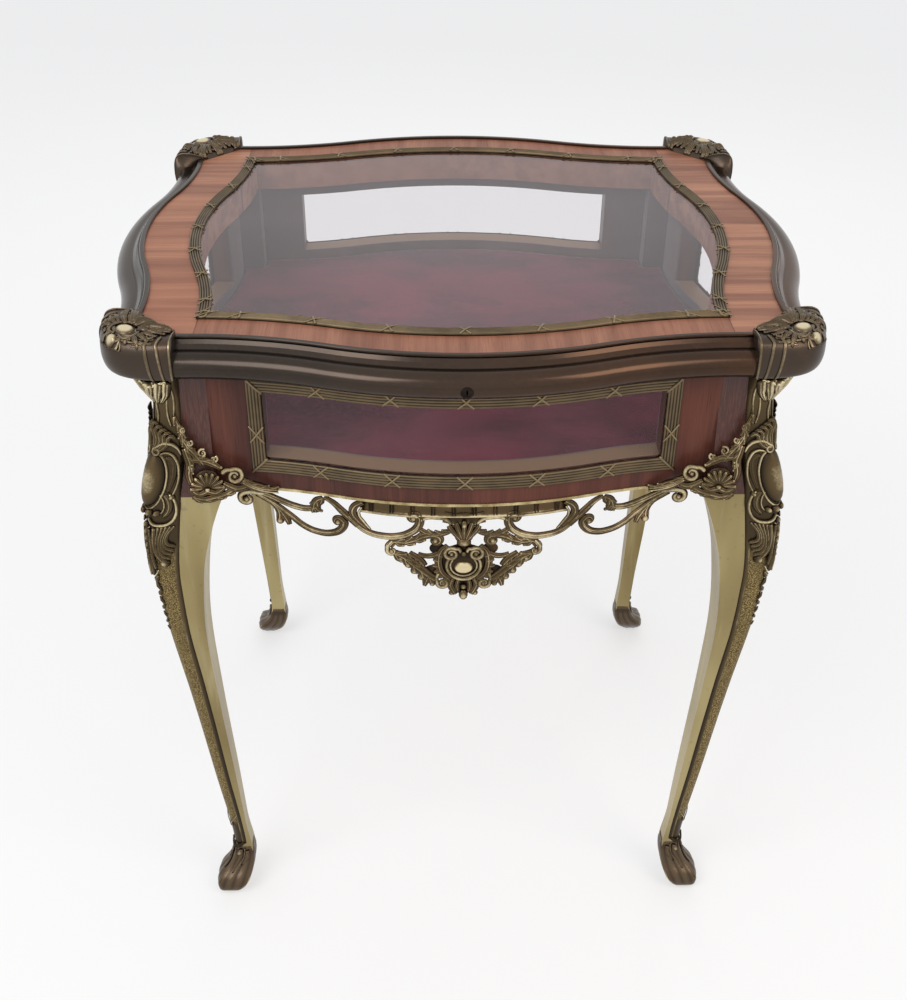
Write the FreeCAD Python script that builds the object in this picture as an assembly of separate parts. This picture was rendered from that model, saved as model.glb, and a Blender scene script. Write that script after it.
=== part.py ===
"""Collectors display table: a glazed, velvet-lined case on cabriole legs.

Millimetres, +Z up, origin on the floor under the centre of the table, front towards -Y.
"""
import FreeCAD, Part
import math
import os
from FreeCAD import Vector

os.makedirs("parts", exist_ok=True)

# heights
top_height = 760.0
lid_thickness = 33.0
lid_gap = 0.3
apron_depth = 123.7
edge_band_height = 3.0

# plan of the lid: every side is bowed in the middle and hollow near the corners
lid_front_mid = 284.5
lid_front_trough = 246.0
lid_front_trough_at = 250.0
lid_side_mid = 329.0
lid_side_trough = 300.0
lid_side_trough_at = 188.0

# plan of the case below the lid
case_front_mid = 288.5
case_front_trough = 253.0
case_front_trough_at = 250.0
case_side_mid = 317.0
case_side_trough = 289.0
case_side_trough_at = 190.0
apron_thickness = 24.0

# glazed opening in the lid, given by the outer edge of its reeded frame
reed_front_mid = 248.0
reed_side_mid = 283.0
reed_corner_x = 249.0
reed_corner_y = 212.6
reed_width = 12.0
reed_height = 4.5
reed_cover = 6.0
lid_glass_thickness = 5.0
bed_clearance = 0.3
rail_joint_inset = 2.0

# edge moulding of the lid
bead_width = 5.0
bead_rise = 3.0
torus_centre_out = 17.0
torus_centre_drop = 20.0
torus_radius = 13.0
groove_width = 1.4
groove_drop = 0.8
cove_width = 2.2
cove_rise = 0.2
fillet_out = 12.5
fillet_drop = 6.5
torus_neck = 3.0
torus_groove_drop = 0.35
bead_round = 0.8
moulding_lap = 21.0

# corner caps of the lid
cap_reach_x = 43.0
cap_reach_y = 42.0
cap_overhang = 31.5
cap_round = 40.0
cap_inner_round = 12.0
cap_rise = 9.0
cap_top_round = 5.0
cap_hem_lift = 1.0

# windows in the four aprons
window_half_front = 188.0
window_half_side = 138.0
window_drop = 18.7
window_height = 73.0
window_glass_thickness = 3.0
window_rebate = 4.0
window_trim_width = 15.0
window_trim_proud = 3.5
edge_band_proud = 1.2
edge_band_depth = 6.0
edge_band_setback = 10.0

# case inside
floor_thickness = 12.0
floor_lift = 5.0
velvet_thickness = 6.0
velvet_clearance = 0.5
lining_thickness = 2.0

# legs: the section is square with its corner towards the corner of the table
leg_side_setback = 2.0
post_depth = 48.0
leg_round_share = 0.3
mount_skin = 2.6
mount_fit = 0.05
tenon_length = 20.0
tenon_thickness = 10.0
tenon_margin = 12.0
sabot_height = 60.0
sabot_wall = 2.0
sole_thickness = 3.0
# how far a cutting tool runs past the face it opens, and past a bowed apron
cut_past = 1.0
hole_past = 5.0
# how many widths of the reeded frame a mitre cut runs past its corner
mitre_run = 8.0
# how far the sweep of a moulding runs on before its ends are cut
sweep_past = 60.0
# heights closer than this are the same
same_height = 0.01

# corner distances of the leg count outwards (or inwards) from the hollow of the case's front
# post: drop below the top of the case, corner over the mount
post_stations = [
    (49.7, 4.0),
    (82.7, 9.0),
]
post_top_corner = 2.5
knee_corner = 18.0
knee_inner = 57.0
# leg: share of the height from the ankle to the apron, corner over the mount, inner corner
leg_stations = [
    (0.9465, 21.0, 45.5),
    (0.8891, 22.5, 36.0),
    (0.8222, 22.5, 28.5),
    (0.7457, 20.5, 24.0),
    (0.6501, 17.0, 21.5),
    (0.5354, 11.0, 22.5),
    (0.4207, 5.5, 24.5),
    (0.3059, 0.5, 27.0),
    (0.1912, -4.5, 29.5),
    (0.0765, -10.0, 31.5),
]
# foot: height, corner over the mount, inner corner
ankle_height = 80.0
foot_stations = [
    (80.0, -13.0, 34.0),
    (sabot_height, -13.4, 36.0),
    (53.0, -12.6, 36.3),
    (46.0, -10.7, 36.1),
    (37.0, -6.0, 35.0),
    (29.0, 1.0, 33.0),
    (23.0, 6.5, 31.0),
    (16.0, 9.0, 27.5),
    (8.5, 8.5, 22.0),
]
foot_corner = 5.5
foot_inner = 17.0

# leg mount: drop below the case or share as above, arm along each face, relief over the leg
mount_post_stations = [
    (12.7, 20.0, 8.0),
    (26.7, 19.0, 3.0),
    (66.7, 20.0, 3.5),
    (96.7, 24.0, 5.0),
]
mount_leg_stations = [
    (0.9943, 27.0, 6.0),
    (0.9369, 27.0, 5.5),
    (0.8795, 24.0, 4.5),
    (0.8031, 22.0, 3.6),
    (0.6883, 20.0, 3.0),
    (0.5354, 18.0, 3.0),
    (0.3824, 16.0, 3.0),
    (0.2294, 14.0, 3.0),
    (0.0765, 12.0, 3.0),
]
mount_top_arm = 20.0
mount_top_relief = 13.0
mount_foot_arm = 12.0
mount_foot_relief = 3.0
mount_foot_gap = 1.0

# cast ornament on the case
spandrel_thickness = 4.0
gallery_thickness = 5.0
gallery_setback = 1.0

# hinges at the back
hinge_centre = 95.0
hinge_length = 50.0
hinge_axis_stand = 1.8
hinge_axis_drop = 3.4
knuckle_radius = 3.0
hinge_pin_radius = 1.25
hinge_pin_clearance = 0.05
knuckle_gap = 0.3
knuckle_count = 5
leaf_thickness = 1.5
leaf_reach = 30.5
leaf_gap = 0.3
screw_radius = 1.6
screw_head_radius = 2.8
screw_length = 12.0
screw_inset = 5.0
screw_pitch = 30.0

# lock in the front rail of the lid
lock_lift = 11.5
lock_barrel_radius = 6.0
lock_plug_radius = 4.0
lock_plug_clearance = 0.05
lock_face_setback = 1.1
cam_setback = 17.5
cam_thickness = 4.0
cam_inner_radius = 14.3
cam_outer_radius = 17.8
cam_sector = 50.0
cam_slot_clearance = 1.5
hub_play = 1.0
pocket_play = 3.0
arm_root = 1.0
lock_hub_wall = 2.0
strike_thickness = 2.0
strike_half_width = 5.5
strike_end_margin = 10.8
strike_slot_play = 0.6
strike_screw_inset = 4.2
key_slot_width = 1.4
key_slot_depth = 12.0
key_slot_drop = 3.0
key_slot_rise = 2.0
plug_setback = 0.4

lid_under = top_height - lid_thickness
case_top = lid_under - lid_gap
apron_low = case_top - apron_depth
window_high = case_top - window_drop
window_low = window_high - window_height
post_inner = case_front_trough - post_depth
leg_corner_shift = case_side_trough - case_front_trough - leg_side_setback
hinge_axis_out = case_front_mid + hinge_axis_stand
hinge_axis_height = lid_under - hinge_axis_drop
lock_height = lid_under + lock_lift
lock_face_out = lid_front_mid + torus_centre_out + torus_radius - lock_face_setback
cam_plane_out = case_front_mid - cam_setback
far = 600.0


class Bow:
    """One side in plan: a round bow between two round hollows, seen along the side."""

    def __init__(self, mid, trough, trough_at):
        rise = (mid - trough) / 2
        self.mid = mid
        self.trough = trough
        self.trough_at = trough_at
        self.radius = ((trough_at / 2) ** 2 + rise ** 2) / (2 * rise)
        self.turn = math.asin(trough_at / 2 / self.radius)

    def change(self, off):
        """Place along the side where the offset bow turns into the hollow."""
        return self.trough_at / 2 + off * math.sin(self.turn)

    def out(self, along, off=0.0):
        """Distance of the offset curve from the centre line."""
        a = abs(along)
        if a <= self.change(off):
            return self.mid - self.radius + math.sqrt((self.radius + off) ** 2 - a * a)
        hollow = self.radius - off
        return self.trough + self.radius - math.sqrt(hollow ** 2 - (a - self.trough_at) ** 2)

    def edges(self, start, end, off, z):
        """Arcs of the offset curve from start to end."""
        cuts = [start]
        for place in (-self.change(off), self.change(off)):
            if start < place < end:
                cuts.append(place)
        cuts.append(end)
        arcs = []
        for a, b in zip(cuts, cuts[1:]):
            points = [Vector(p, -self.out(p, off), z) for p in (a, (a + b) / 2, b)]
            arcs.append(Part.Arc(*points).toShape())
        return arcs


def corner_of(front, side, off_front=0.0, off_side=0.0):
    """Where the front curve meets the side curve."""
    x = side.mid
    y = front.mid
    for _ in range(40):
        x = side.out(y, off_side)
        y = front.out(x, off_front)
    return x, y


def face_of(edges):
    return Part.Face(Part.Wire(Part.__sortEdges__(edges)))


def band(bow, start, end, inner, outer, low, high):
    """A strip that follows the bow between two offsets and two heights."""
    back = bow.edges(start, end, inner, low)
    front = bow.edges(start, end, outer, low)
    ends = []
    for place in (start, end):
        p = Vector(place, -bow.out(place, inner), low)
        q = Vector(place, -bow.out(place, outer), low)
        ends.append(Part.makeLine(p, q))
    return face_of(back + front + ends).extrude(Vector(0, 0, high - low))


def turned(shape, angle):
    copy = shape.copy()
    copy.rotate(Vector(0, 0, 0), Vector(0, 0, 1), angle)
    return copy


def box(x0, x1, y0, y1, z0, z1):
    return Part.makeBox(x1 - x0, y1 - y0, z1 - z0, Vector(x0, y0, z0))


def outline_plate(front, side, off, low, high):
    """The whole closed plan, offset, as a plate."""
    x, y = corner_of(front, side, off, off)
    edges = []
    for angle, bow, reach in ((0, front, x), (90, side, y), (180, front, x), (-90, side, y)):
        for edge in bow.edges(-reach, reach, off, low):
            edges.append(turned(edge, angle))
    return face_of(edges).extrude(Vector(0, 0, high - low))


def save(name, shape):
    solids = shape.Solids
    whole = solids[0] if len(solids) == 1 else Part.makeCompound(solids)
    assert solids and all(s.isValid() for s in solids), name
    whole.exportStep("parts/" + name + ".step")


lid_front = Bow(lid_front_mid, lid_front_trough, lid_front_trough_at)
lid_side = Bow(lid_side_mid, lid_side_trough, lid_side_trough_at)
case_front = Bow(case_front_mid, case_front_trough, case_front_trough_at)
case_side = Bow(case_side_mid, case_side_trough, case_side_trough_at)
reed_front = Bow(reed_front_mid, reed_corner_y, reed_corner_x)
reed_side = Bow(reed_side_mid, reed_corner_x, reed_corner_y)

# name, turn about Z, lid curve, case curve, reed curve, half window
sides = [
    ("front", 0, lid_front, case_front, reed_front, window_half_front),
    ("right", 90, lid_side, case_side, reed_side, window_half_side),
    ("back", 180, lid_front, case_front, reed_front, window_half_front),
    ("left", -90, lid_side, case_side, reed_side, window_half_side),
]
# name, sign of x, sign of y
corners = [
    ("front_left", -1, -1),
    ("front_right", 1, -1),
    ("back_right", 1, 1),
    ("back_left", -1, 1),
]
lid_corner_x, lid_corner_y = corner_of(lid_front, lid_side)


def placed_at_corner(shape, sx, sy):
    """Mirror a shape made in the +X +Y corner into another corner."""
    if sx < 0:
        shape = shape.mirror(Vector(0, 0, 0), Vector(1, 0, 0))
    if sy < 0:
        shape = shape.mirror(Vector(0, 0, 0), Vector(0, 1, 0))
    return shape


# ---- legs ----------------------------------------------------------------

def leg_section(z, corner, inner):
    """Square section with a rounded outer corner, in the +X +Y corner."""
    shift = leg_corner_shift
    r = leg_round_share * (corner - inner)
    k = r * (1 - math.sqrt(0.5))
    a = Vector(inner + shift, inner, z)
    b = Vector(corner + shift, inner, z)
    c = Vector(corner + shift, corner - r, z)
    m = Vector(corner + shift - k, corner - k, z)
    d = Vector(corner + shift - r, corner, z)
    e = Vector(inner + shift, corner, z)
    arc = Part.Arc(c, m, d).toShape()
    lines = [Part.makeLine(a, b), Part.makeLine(b, c), arc, Part.makeLine(d, e), Part.makeLine(e, a)]
    return Part.Wire(lines)


def leg_height(share):
    """Height of a station between the ankle and the apron."""
    return ankle_height + share * (apron_low - ankle_height)


def section_row(z, corner, inner):
    """A section from its distances beyond and inside the hollow of the case."""
    return z, case_front_trough + corner, case_front_trough - inner


def post_rows():
    rows = [section_row(case_top, post_top_corner, post_depth)]
    rows += [section_row(case_top - drop, corner, post_depth) for drop, corner in post_stations]
    return rows + [section_row(apron_low, knee_corner, post_depth)]


def leg_rows():
    rows = [section_row(apron_low, knee_corner, knee_inner)]
    rows += [section_row(leg_height(share), corner, inner) for share, corner, inner in leg_stations]
    rows += [section_row(z, corner, inner) for z, corner, inner in foot_stations]
    return rows + [section_row(sole_thickness, foot_corner, foot_inner)]


def outer_corner(z):
    """Corner distance over the mount at a height, between the stations."""
    rows = post_rows() + leg_rows()
    for high, low in zip(rows, rows[1:]):
        if low[0] <= z <= high[0] and high[0] > low[0]:
            share = (z - low[0]) / (high[0] - low[0])
            return low[1] + share * (high[1] - low[1])
    return rows[-1][1]


def leg_body():
    """The post at the case and the cabriole leg below it, under the thickness of the mounts."""
    parts = []
    for rows in (post_rows(), leg_rows()):
        wires = [leg_section(z, corner - mount_skin, inner) for z, corner, inner in rows]
        parts.append(Part.makeLoft(wires, True, False))
    return parts[0].fuse(parts[1]).removeSplitter()


def tenon_box(bow, angle, end):
    """Tenon of an apron, in the frame of the front apron, turned to its side."""
    reach = end + tenon_length
    mid = bow.out(end) - apron_thickness / 2
    half = tenon_thickness / 2
    low = apron_low + tenon_margin
    high = case_top - tenon_margin
    tenons = [box(end, reach, -mid - half, -mid + half, low, high)]
    tenons.append(box(-reach, -end, -mid - half, -mid + half, low, high))
    return [turned(t, angle) for t in tenons]


post_face_x = post_inner + leg_corner_shift
apron_half = {"front": post_face_x, "back": post_face_x, "left": post_inner, "right": post_inner}
tenons = {}
for name, angle, lid_bow, case_bow, reed_bow, half in sides:
    tenons[name] = tenon_box(case_bow, angle, apron_half[name])
all_tenons = Part.makeCompound([t for pair in tenons.values() for t in pair])

leg_shape = leg_body()
for name, sx, sy in corners:
    save("leg_" + name, placed_at_corner(leg_shape, sx, sy).cut(all_tenons))


def sabot_shape():
    """Cast shoe around the foot, with a socket for the leg."""
    rows = [row for row in leg_rows() if row[0] <= sabot_height]
    rows = rows[:-1] + [section_row(0.0, foot_corner, foot_inner)]
    wires = []
    for z, corner, inner in rows:
        wires.append(leg_section(z, corner - mount_skin + sabot_wall, inner - sabot_wall))
    return Part.makeLoft(wires, True, False).cut(leg_shape)


sabot = sabot_shape()
for name, sx, sy in corners:
    save("sabot_" + name, placed_at_corner(sabot, sx, sy))


def mount_section(z, arm, relief):
    """L-shaped section that wraps the outer corner of the leg."""
    corner = outer_corner(z) - mount_skin
    x = corner + leg_corner_shift
    y = corner
    fit = mount_fit
    points = [
        Vector(x + relief, y + relief, z),
        Vector(x + relief, y - arm, z),
        Vector(x + fit, y - arm, z),
        Vector(x + fit, y + fit, z),
        Vector(x - arm, y + fit, z),
        Vector(x - arm, y + relief, z),
    ]
    return Part.makePolygon(points + points[:1])


def mount_shape():
    foot_z = sabot_height + mount_foot_gap
    rows = [(case_top - mount_foot_gap, mount_top_arm, mount_top_relief)]
    rows += [(case_top - drop, arm, relief) for drop, arm, relief in mount_post_stations]
    rows += [(leg_height(share), arm, relief) for share, arm, relief in mount_leg_stations]
    rows.append((foot_z, mount_foot_arm, mount_foot_relief))
    wires = [mount_section(*row) for row in rows]
    return Part.makeLoft(wires, True, False).cut(leg_shape)


mount = mount_shape()
for name, sx, sy in corners:
    save("leg_mount_" + name, placed_at_corner(mount, sx, sy))

# ---- aprons, their windows and trims ---------------------------------------


def apron_shape(name, bow, half):
    end = apron_half[name]
    low = window_low - window_rebate
    high = window_high + window_rebate
    rebate_depth = window_glass_thickness + 2 * bed_clearance
    panel = band(bow, -end, end, -apron_thickness, 0, apron_low, case_top)
    hole = band(bow, -half, half, -apron_thickness - hole_past, hole_past, window_low, window_high)
    wide = half + window_rebate + bed_clearance
    rebate = band(bow, -wide, wide, -rebate_depth, 5, low - bed_clearance, high + bed_clearance)
    return panel.cut(hole).cut(rebate)


def window_glass(bow, half):
    wide = half + window_rebate
    low = window_low - window_rebate
    high = window_high + window_rebate
    inner = -bed_clearance - window_glass_thickness
    return band(bow, -wide, wide, inner, -bed_clearance, low, high)


def mitre_wedge(half, low, high, where, width):
    """Region of one strip of a mitred frame, as seen from the front."""
    wide = half + width
    top = high + width
    bottom = low - width
    points = {
        "top": [(half, high), (wide, top), (-wide, top), (-half, high)],
        "bottom": [(half, low), (wide, bottom), (-wide, bottom), (-half, low)],
        "left": [(-half, low), (-wide, bottom), (-wide, top), (-half, high)],
        "right": [(half, low), (wide, bottom), (wide, top), (half, high)],
    }[where]
    corners3 = [Vector(a, -far, z) for a, z in points]
    return Part.Face(Part.makePolygon(corners3 + corners3[:1])).extrude(Vector(0, far, 0))


def window_trim(bow, half):
    """Four reeded strips with mitred corners around a window."""
    wide = half + window_trim_width
    low = window_low - window_trim_width
    high = window_high + window_trim_width
    frame = band(bow, -wide, wide, 0, window_trim_proud, low, high)
    strips = []
    for where in ("top", "bottom", "left", "right"):
        wedge = mitre_wedge(half, window_low, window_high, where, window_trim_width)
        strips.append(frame.common(wedge))
    return Part.makeCompound(strips)


apron_solids = {}
for name, angle, lid_bow, case_bow, reed_bow, half in sides:
    apron_solids[name] = turned(apron_shape(name, case_bow, half), angle)
    save("window_glass_" + name, turned(window_glass(case_bow, half), angle))
    save("window_trim_" + name, turned(window_trim(case_bow, half), angle))

edge_bands = []
for name, angle, lid_bow, case_bow, reed_bow, half in sides:
    end = apron_half[name] - edge_band_setback
    inner = edge_band_proud - edge_band_depth
    strip = band(case_bow, -end, end, inner, edge_band_proud, apron_low - edge_band_height, apron_low)
    edge_bands.append(turned(strip, angle))
save("apron_edge_bands", Part.makeCompound(edge_bands))

# ---- floor and lining --------------------------------------------------------


def inside_plate(shrink, low, high):
    """Plate that fills the case between the aprons and around the posts."""
    plate = outline_plate(case_front, case_side, -apron_thickness - shrink, low, high)
    for name, sx, sy in corners:
        post = box(post_face_x - shrink, far, post_inner - shrink, far, low - cut_past, high + cut_past)
        plate = plate.cut(placed_at_corner(post, sx, sy))
    return plate


floor_low = apron_low + floor_lift
floor_high = floor_low + floor_thickness
velvet_high = floor_high + velvet_thickness
save("floor_board", inside_plate(0.0, floor_low, floor_high))
save("velvet_floor", inside_plate(velvet_clearance + lining_thickness, floor_high, velvet_high))

linings = []
for name, angle, lid_bow, case_bow, reed_bow, half in sides:
    end = apron_half[name] - lining_thickness
    inner = -apron_thickness - lining_thickness
    card = band(case_bow, -end, end, inner, -apron_thickness, floor_high, case_top)
    hole = band(case_bow, -half, half, inner - cut_past, cut_past - apron_thickness, window_low, window_high)
    linings.append(turned(card.cut(hole), angle))
for name, sx, sy in corners:
    x0 = post_face_x - lining_thickness
    y0 = post_inner - lining_thickness
    x1 = case_side.out(post_inner) - apron_thickness - lining_thickness
    y1 = case_front.out(post_face_x) - apron_thickness - lining_thickness
    angle_card = box(x0, x1, y0, y1, floor_high, case_top)
    angle_card = angle_card.cut(box(post_face_x, far, post_inner, far, floor_high, case_top))
    linings.append(placed_at_corner(angle_card, sx, sy))
save("wall_lining", Part.makeCompound(linings))

# ---- cast ornament on the case -------------------------------------------------


def flat_stroke(points, width):
    """A flat ribbon of even width along a smooth line in the XZ plane."""
    path = Part.BSplineCurve()
    path.interpolate([Vector(a, 0, z) for a, z in points])
    steps = 4 * len(points)
    span = path.LastParameter - path.FirstParameter
    left = []
    right = []
    for i in range(steps + 1):
        t = path.FirstParameter + span * i / steps
        along = path.tangent(t)[0]
        across = Vector(-along.z, 0, along.x) * (width / 2)
        left.append(path.value(t) + across)
        right.append(path.value(t) - across)
    edges = []
    for points_on in (left, right):
        curve = Part.BSplineCurve()
        curve.interpolate(points_on)
        edges.append(curve.toShape())
    edges.append(Part.makeLine(left[0], right[0]))
    edges.append(Part.makeLine(left[-1], right[-1]))
    return face_of(edges)


def flat_disc(a, z, radius):
    return Part.Face(Part.Wire(Part.makeCircle(radius, Vector(a, 0, z), Vector(0, 1, 0))))


def joined_flat(faces):
    """One flat outline from overlapping ribbons and discs, with its piercings."""
    same_way = []
    for face in faces:
        if face.normalAt(0, 0).y > 0:
            face.reverse()
        same_way.append(face)
    split = same_way[0].multiFuse(same_way[1:])
    return Part.makeShell(split.Faces).removeSplitter()


def raised(flat):
    """Flat ornament extruded outwards, to be trimmed to the face that it lies on."""
    return flat.extrude(Vector(0, -far, 0))


# scrolls of one half of the gallery, as distances from its middle and below the apron
gallery_strokes = [
    ([(-208, 9), (-200, 5), (-186, 8), (-168, 17), (-152, 24)], 7.0),
    ([(-190, 7), (-178, 18), (-172, 30), (-167, 42)], 6.0),
    ([(-176, 14), (-162, 32), (-148, 47), (-134, 51), (-122, 46), (-117, 33), (-119, 20)], 5.0),
    ([(-138, 14), (-135, 4), (-127, 6), (-119, 18), (-109, 29), (-93, 35)], 5.0),
    ([(-93, 35), (-72, 35), (-60, 28), (-52, 14)], 5.0),
    ([(-61, 41), (-70, 34), (-69, 25)], 4.0),
    ([(-36, 12), (-24, 26), (-12, 42)], 5.0),
    ([(-72, 55), (-60, 52), (-47, 46), (-30, 40), (-14, 40), (-4, 44)], 7.0),
    ([(-66, 58), (-54, 70), (-40, 84), (-24, 92), (-3, 103)], 8.0),
    ([(-44, 48), (-38, 66), (-28, 88)], 5.0),
]
gallery_discs = [
    (-208, 10, 5.5),
    (-121, 34, 6.0),
    (-138, 13, 5.0),
    (-52, 13, 5.0),
    (-72, 55, 5.0),
    (-12, 55, 7.0),
]
gallery_band_half = 101.0
gallery_band_drop = 14.0
cabochon_drop = 69.0
cabochon_radius = 17.0
palmette_top = 2.0
palmette_drop = 55.0
palmette_width = 14.0
drop_start = 80.0
drop_tip = 114.0
drop_width = 11.0
gallery_side_share = 0.86


def gallery_shape(bow, length, share):
    """Pierced scrollwork that hangs below an apron; share narrows it on the short sides."""
    top = apron_low - edge_band_height
    faces = []
    for sign in (-1, 1):
        for points, width in gallery_strokes:
            line = [(-sign * a * share, top - drop) for a, drop in points]
            faces.append(flat_stroke(line, width))
        for a, drop, radius in gallery_discs:
            faces.append(flat_disc(-sign * a * share, top - drop, radius))
    half = gallery_band_half * share
    low = top - gallery_band_drop
    rail = [Vector(-half, 0, top), Vector(half, 0, top), Vector(half, 0, low), Vector(-half, 0, low)]
    faces.append(Part.Face(Part.makePolygon(rail + rail[:1])))
    faces.append(flat_disc(0, top - cabochon_drop, cabochon_radius))
    middle = (gallery_band_drop + palmette_drop) / 2
    stem = [(0, top - palmette_top), (0, top - middle), (0, top - palmette_drop)]
    faces.append(flat_stroke(stem, palmette_width))
    middle = (drop_start + drop_tip) / 2
    faces.append(flat_stroke([(0, top - drop_start), (0, top - middle), (0, top - drop_tip)], drop_width))
    inner = -gallery_setback - gallery_thickness
    skin = band(bow, -length, length, inner, -gallery_setback, top - drop_tip - drop_width, top)
    return raised(joined_flat(faces)).common(skin)


gallery_long = gallery_shape(case_front, apron_half["front"], 1.0)
gallery_short = gallery_shape(case_side, apron_half["right"], gallery_side_share)
for name, angle, lid_bow, case_bow, reed_bow, half in sides:
    pattern = gallery_long if case_bow is case_front else gallery_short
    save("gallery_" + name, turned(pattern, angle))

# one bracket mount: distances from the post edge towards the middle, heights from the apron edge
spandrel_strokes = [
    ([(-31, 79), (-25, 60), (-21, 38), (-12, 20), (-6, 8)], 9.0),
    ([(-6, 8), (8, 10), (20, 13), (30, 4), (44, 1), (60, -1)], 8.0),
    ([(-16, -14), (-2, -20), (10, -10), (18, 8)], 8.0),
]
spandrel_discs = [(-8, 8, 16.0), (18, 13, 7.0)]
spandrel_top = 79.0
spandrel_reach = 60.0


def slanted_square(centre, normal):
    """A large square through a point, square to a direction."""
    u = normal.cross(Vector(0, 0, 1))
    u.normalize()
    v = normal.cross(u)
    signs = ((-1, -1), (1, -1), (1, 1), (-1, 1))
    points = [centre + u * (far * i) + v * (far * j) for i, j in signs]
    return Part.Face(Part.makePolygon(points + points[:1]))


def spandrel_shape(bow, length, shift, around):
    """Bracket mount at the +X end of a side; shift is how much further out its posts stand."""
    faces = []
    for points, width in spandrel_strokes:
        line = [(length - a, apron_low + z) for a, z in points]
        faces.append(flat_stroke(line, width))
    for a, z, radius in spandrel_discs:
        faces.append(flat_disc(length - a, apron_low + z, radius))
    # the face slopes from the knee of the leg back to the apron, and back up the post
    lift = spandrel_thickness + shift - mount_skin
    upper_z = apron_low + spandrel_top
    knee = Vector(length, -(outer_corner(apron_low) + lift), apron_low)
    upper = Vector(length, -(outer_corner(upper_z) + lift), upper_z)
    inner_x = length - spandrel_reach
    inner = Vector(inner_x, -(bow.out(inner_x) + spandrel_thickness), apron_low)
    normal = (upper - knee).cross(inner - knee)
    normal.normalize()
    if normal.y > 0:
        normal = -normal
    ahead = slanted_square(knee, normal).extrude(normal * far)
    behind = outline_plate(case_front, case_side, 0, 0, top_height)
    if shift > 0:
        behind = turned(behind, -90)
    solid = raised(joined_flat(faces)).cut(ahead).cut(behind)
    for shape in around:
        solid = solid.cut(shape)
    return solid


long_around = [placed_at_corner(leg_shape, 1, -1), placed_at_corner(mount, 1, -1)]
long_around += [apron_solids["front"], edge_bands[0]]
short_around = [turned(shape, -90) for shape in (leg_shape, mount, apron_solids["right"], edge_bands[1])]
spandrel_long = spandrel_shape(case_front, apron_half["front"], 0.0, long_around)
spandrel_short = spandrel_shape(case_side, apron_half["right"], leg_corner_shift, short_around)
for name, angle, lid_bow, case_bow, reed_bow, half in sides:
    right_end = spandrel_long if case_bow is case_front else spandrel_short
    left_end = right_end.mirror(Vector(0, 0, 0), Vector(1, 0, 0))
    save("spandrel_mounts_" + name, turned(Part.makeCompound(right_end.Solids + left_end.Solids), angle))

# ---- lid ---------------------------------------------------------------------------


def lid_ring():
    """Lid frame with the rebate for its glass."""
    plate = outline_plate(lid_front, lid_side, 0, lid_under, top_height)
    ledge = outline_plate(reed_front, reed_side, -reed_width, lid_under - cut_past, top_height + cut_past)
    bed = outline_plate(reed_front, reed_side, bed_clearance - reed_cover,
                        top_height - lid_glass_thickness - bed_clearance, top_height + cut_past)
    return plate.cut(ledge).cut(bed)


ring = lid_ring()
ledge_corner_y = corner_of(reed_front, reed_side, -reed_width, -reed_width)[1]
rail_joint_x = reed_corner_x - rail_joint_inset
front_box = box(-rail_joint_x, rail_joint_x, -far, -ledge_corner_y, 0, far * 2)
back_box = box(-rail_joint_x, rail_joint_x, ledge_corner_y, far, 0, far * 2)

groove_edge = bead_width + groove_width
neck_out = torus_centre_out - torus_neck
moulding_points = [
    (0, lid_thickness),
    (0, bead_round - bead_rise),
    (bead_round, -bead_rise),
    (bead_width - bead_round, -bead_rise),
    (bead_width, bead_round - bead_rise),
    (bead_width, groove_drop),
    (groove_edge, groove_drop),
    (groove_edge, -cove_rise),
    (groove_edge + cove_width, fillet_drop / 2),
    (fillet_out, fillet_drop),
    (neck_out, fillet_drop),
    (neck_out, torus_centre_drop - torus_radius + torus_groove_drop),
]


def moulding_profile():
    """Section of the moulding: distance out from the lid, and drop below its top."""
    points = [Vector(0, -out, top_height - drop) for out, drop in moulding_points]
    edges = [Part.makeLine(p, q) for p, q in zip(points, points[1:])]
    centre_z = top_height - torus_centre_drop
    low = Vector(0, -torus_centre_out, centre_z - torus_radius)
    out = Vector(0, -torus_centre_out - torus_radius, centre_z)
    edges.append(Part.Arc(points[-1], out, low).toShape())
    edges.append(Part.makeLine(low, points[0]))
    return face_of(edges)


def swept_moulding(bow, end):
    """The profile turned along the bow and its two hollows."""
    profile = moulding_profile()
    middle = profile.copy()
    middle.translate(Vector(0, -bow.mid, 0))
    centre = Vector(0, -(bow.mid - bow.radius), 0)
    turn = math.degrees(bow.turn)
    middle.rotate(centre, Vector(0, 0, 1), -turn)
    pieces = [middle.revolve(centre, Vector(0, 0, 1), 2 * turn)]
    for sign in (-1, 1):
        hollow_centre = Vector(sign * bow.trough_at, -(bow.trough + bow.radius), 0)
        start = profile.copy()
        start.translate(Vector(sign * bow.trough_at, -bow.trough, 0))
        start.rotate(hollow_centre, Vector(0, 0, 1), sign * turn)
        beyond = math.degrees(math.asin((end + sweep_past - bow.trough_at) / bow.radius))
        pieces.append(start.revolve(hollow_centre, Vector(0, 0, 1), -sign * (turn + beyond)))
    whole = pieces[0].fuse(pieces[1:]).removeSplitter()
    return whole.common(box(-end, end, -far, 0, 0, far * 2))


moulding_end = {
    "front": lid_corner_x - moulding_lap,
    "back": lid_corner_x - moulding_lap,
    "left": lid_corner_y - moulding_lap,
    "right": lid_corner_y - moulding_lap,
}
mouldings = {}
for name, angle, lid_bow, case_bow, reed_bow, half in sides:
    mouldings[name] = turned(swept_moulding(lid_bow, moulding_end[name]), angle)


def along_y(radius, out_far, out_near, x, z):
    """Cylinder that runs in from the front, between two distances out."""
    return Part.makeCylinder(radius, out_far - out_near, Vector(x, -out_far, z), Vector(0, 1, 0))


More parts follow.
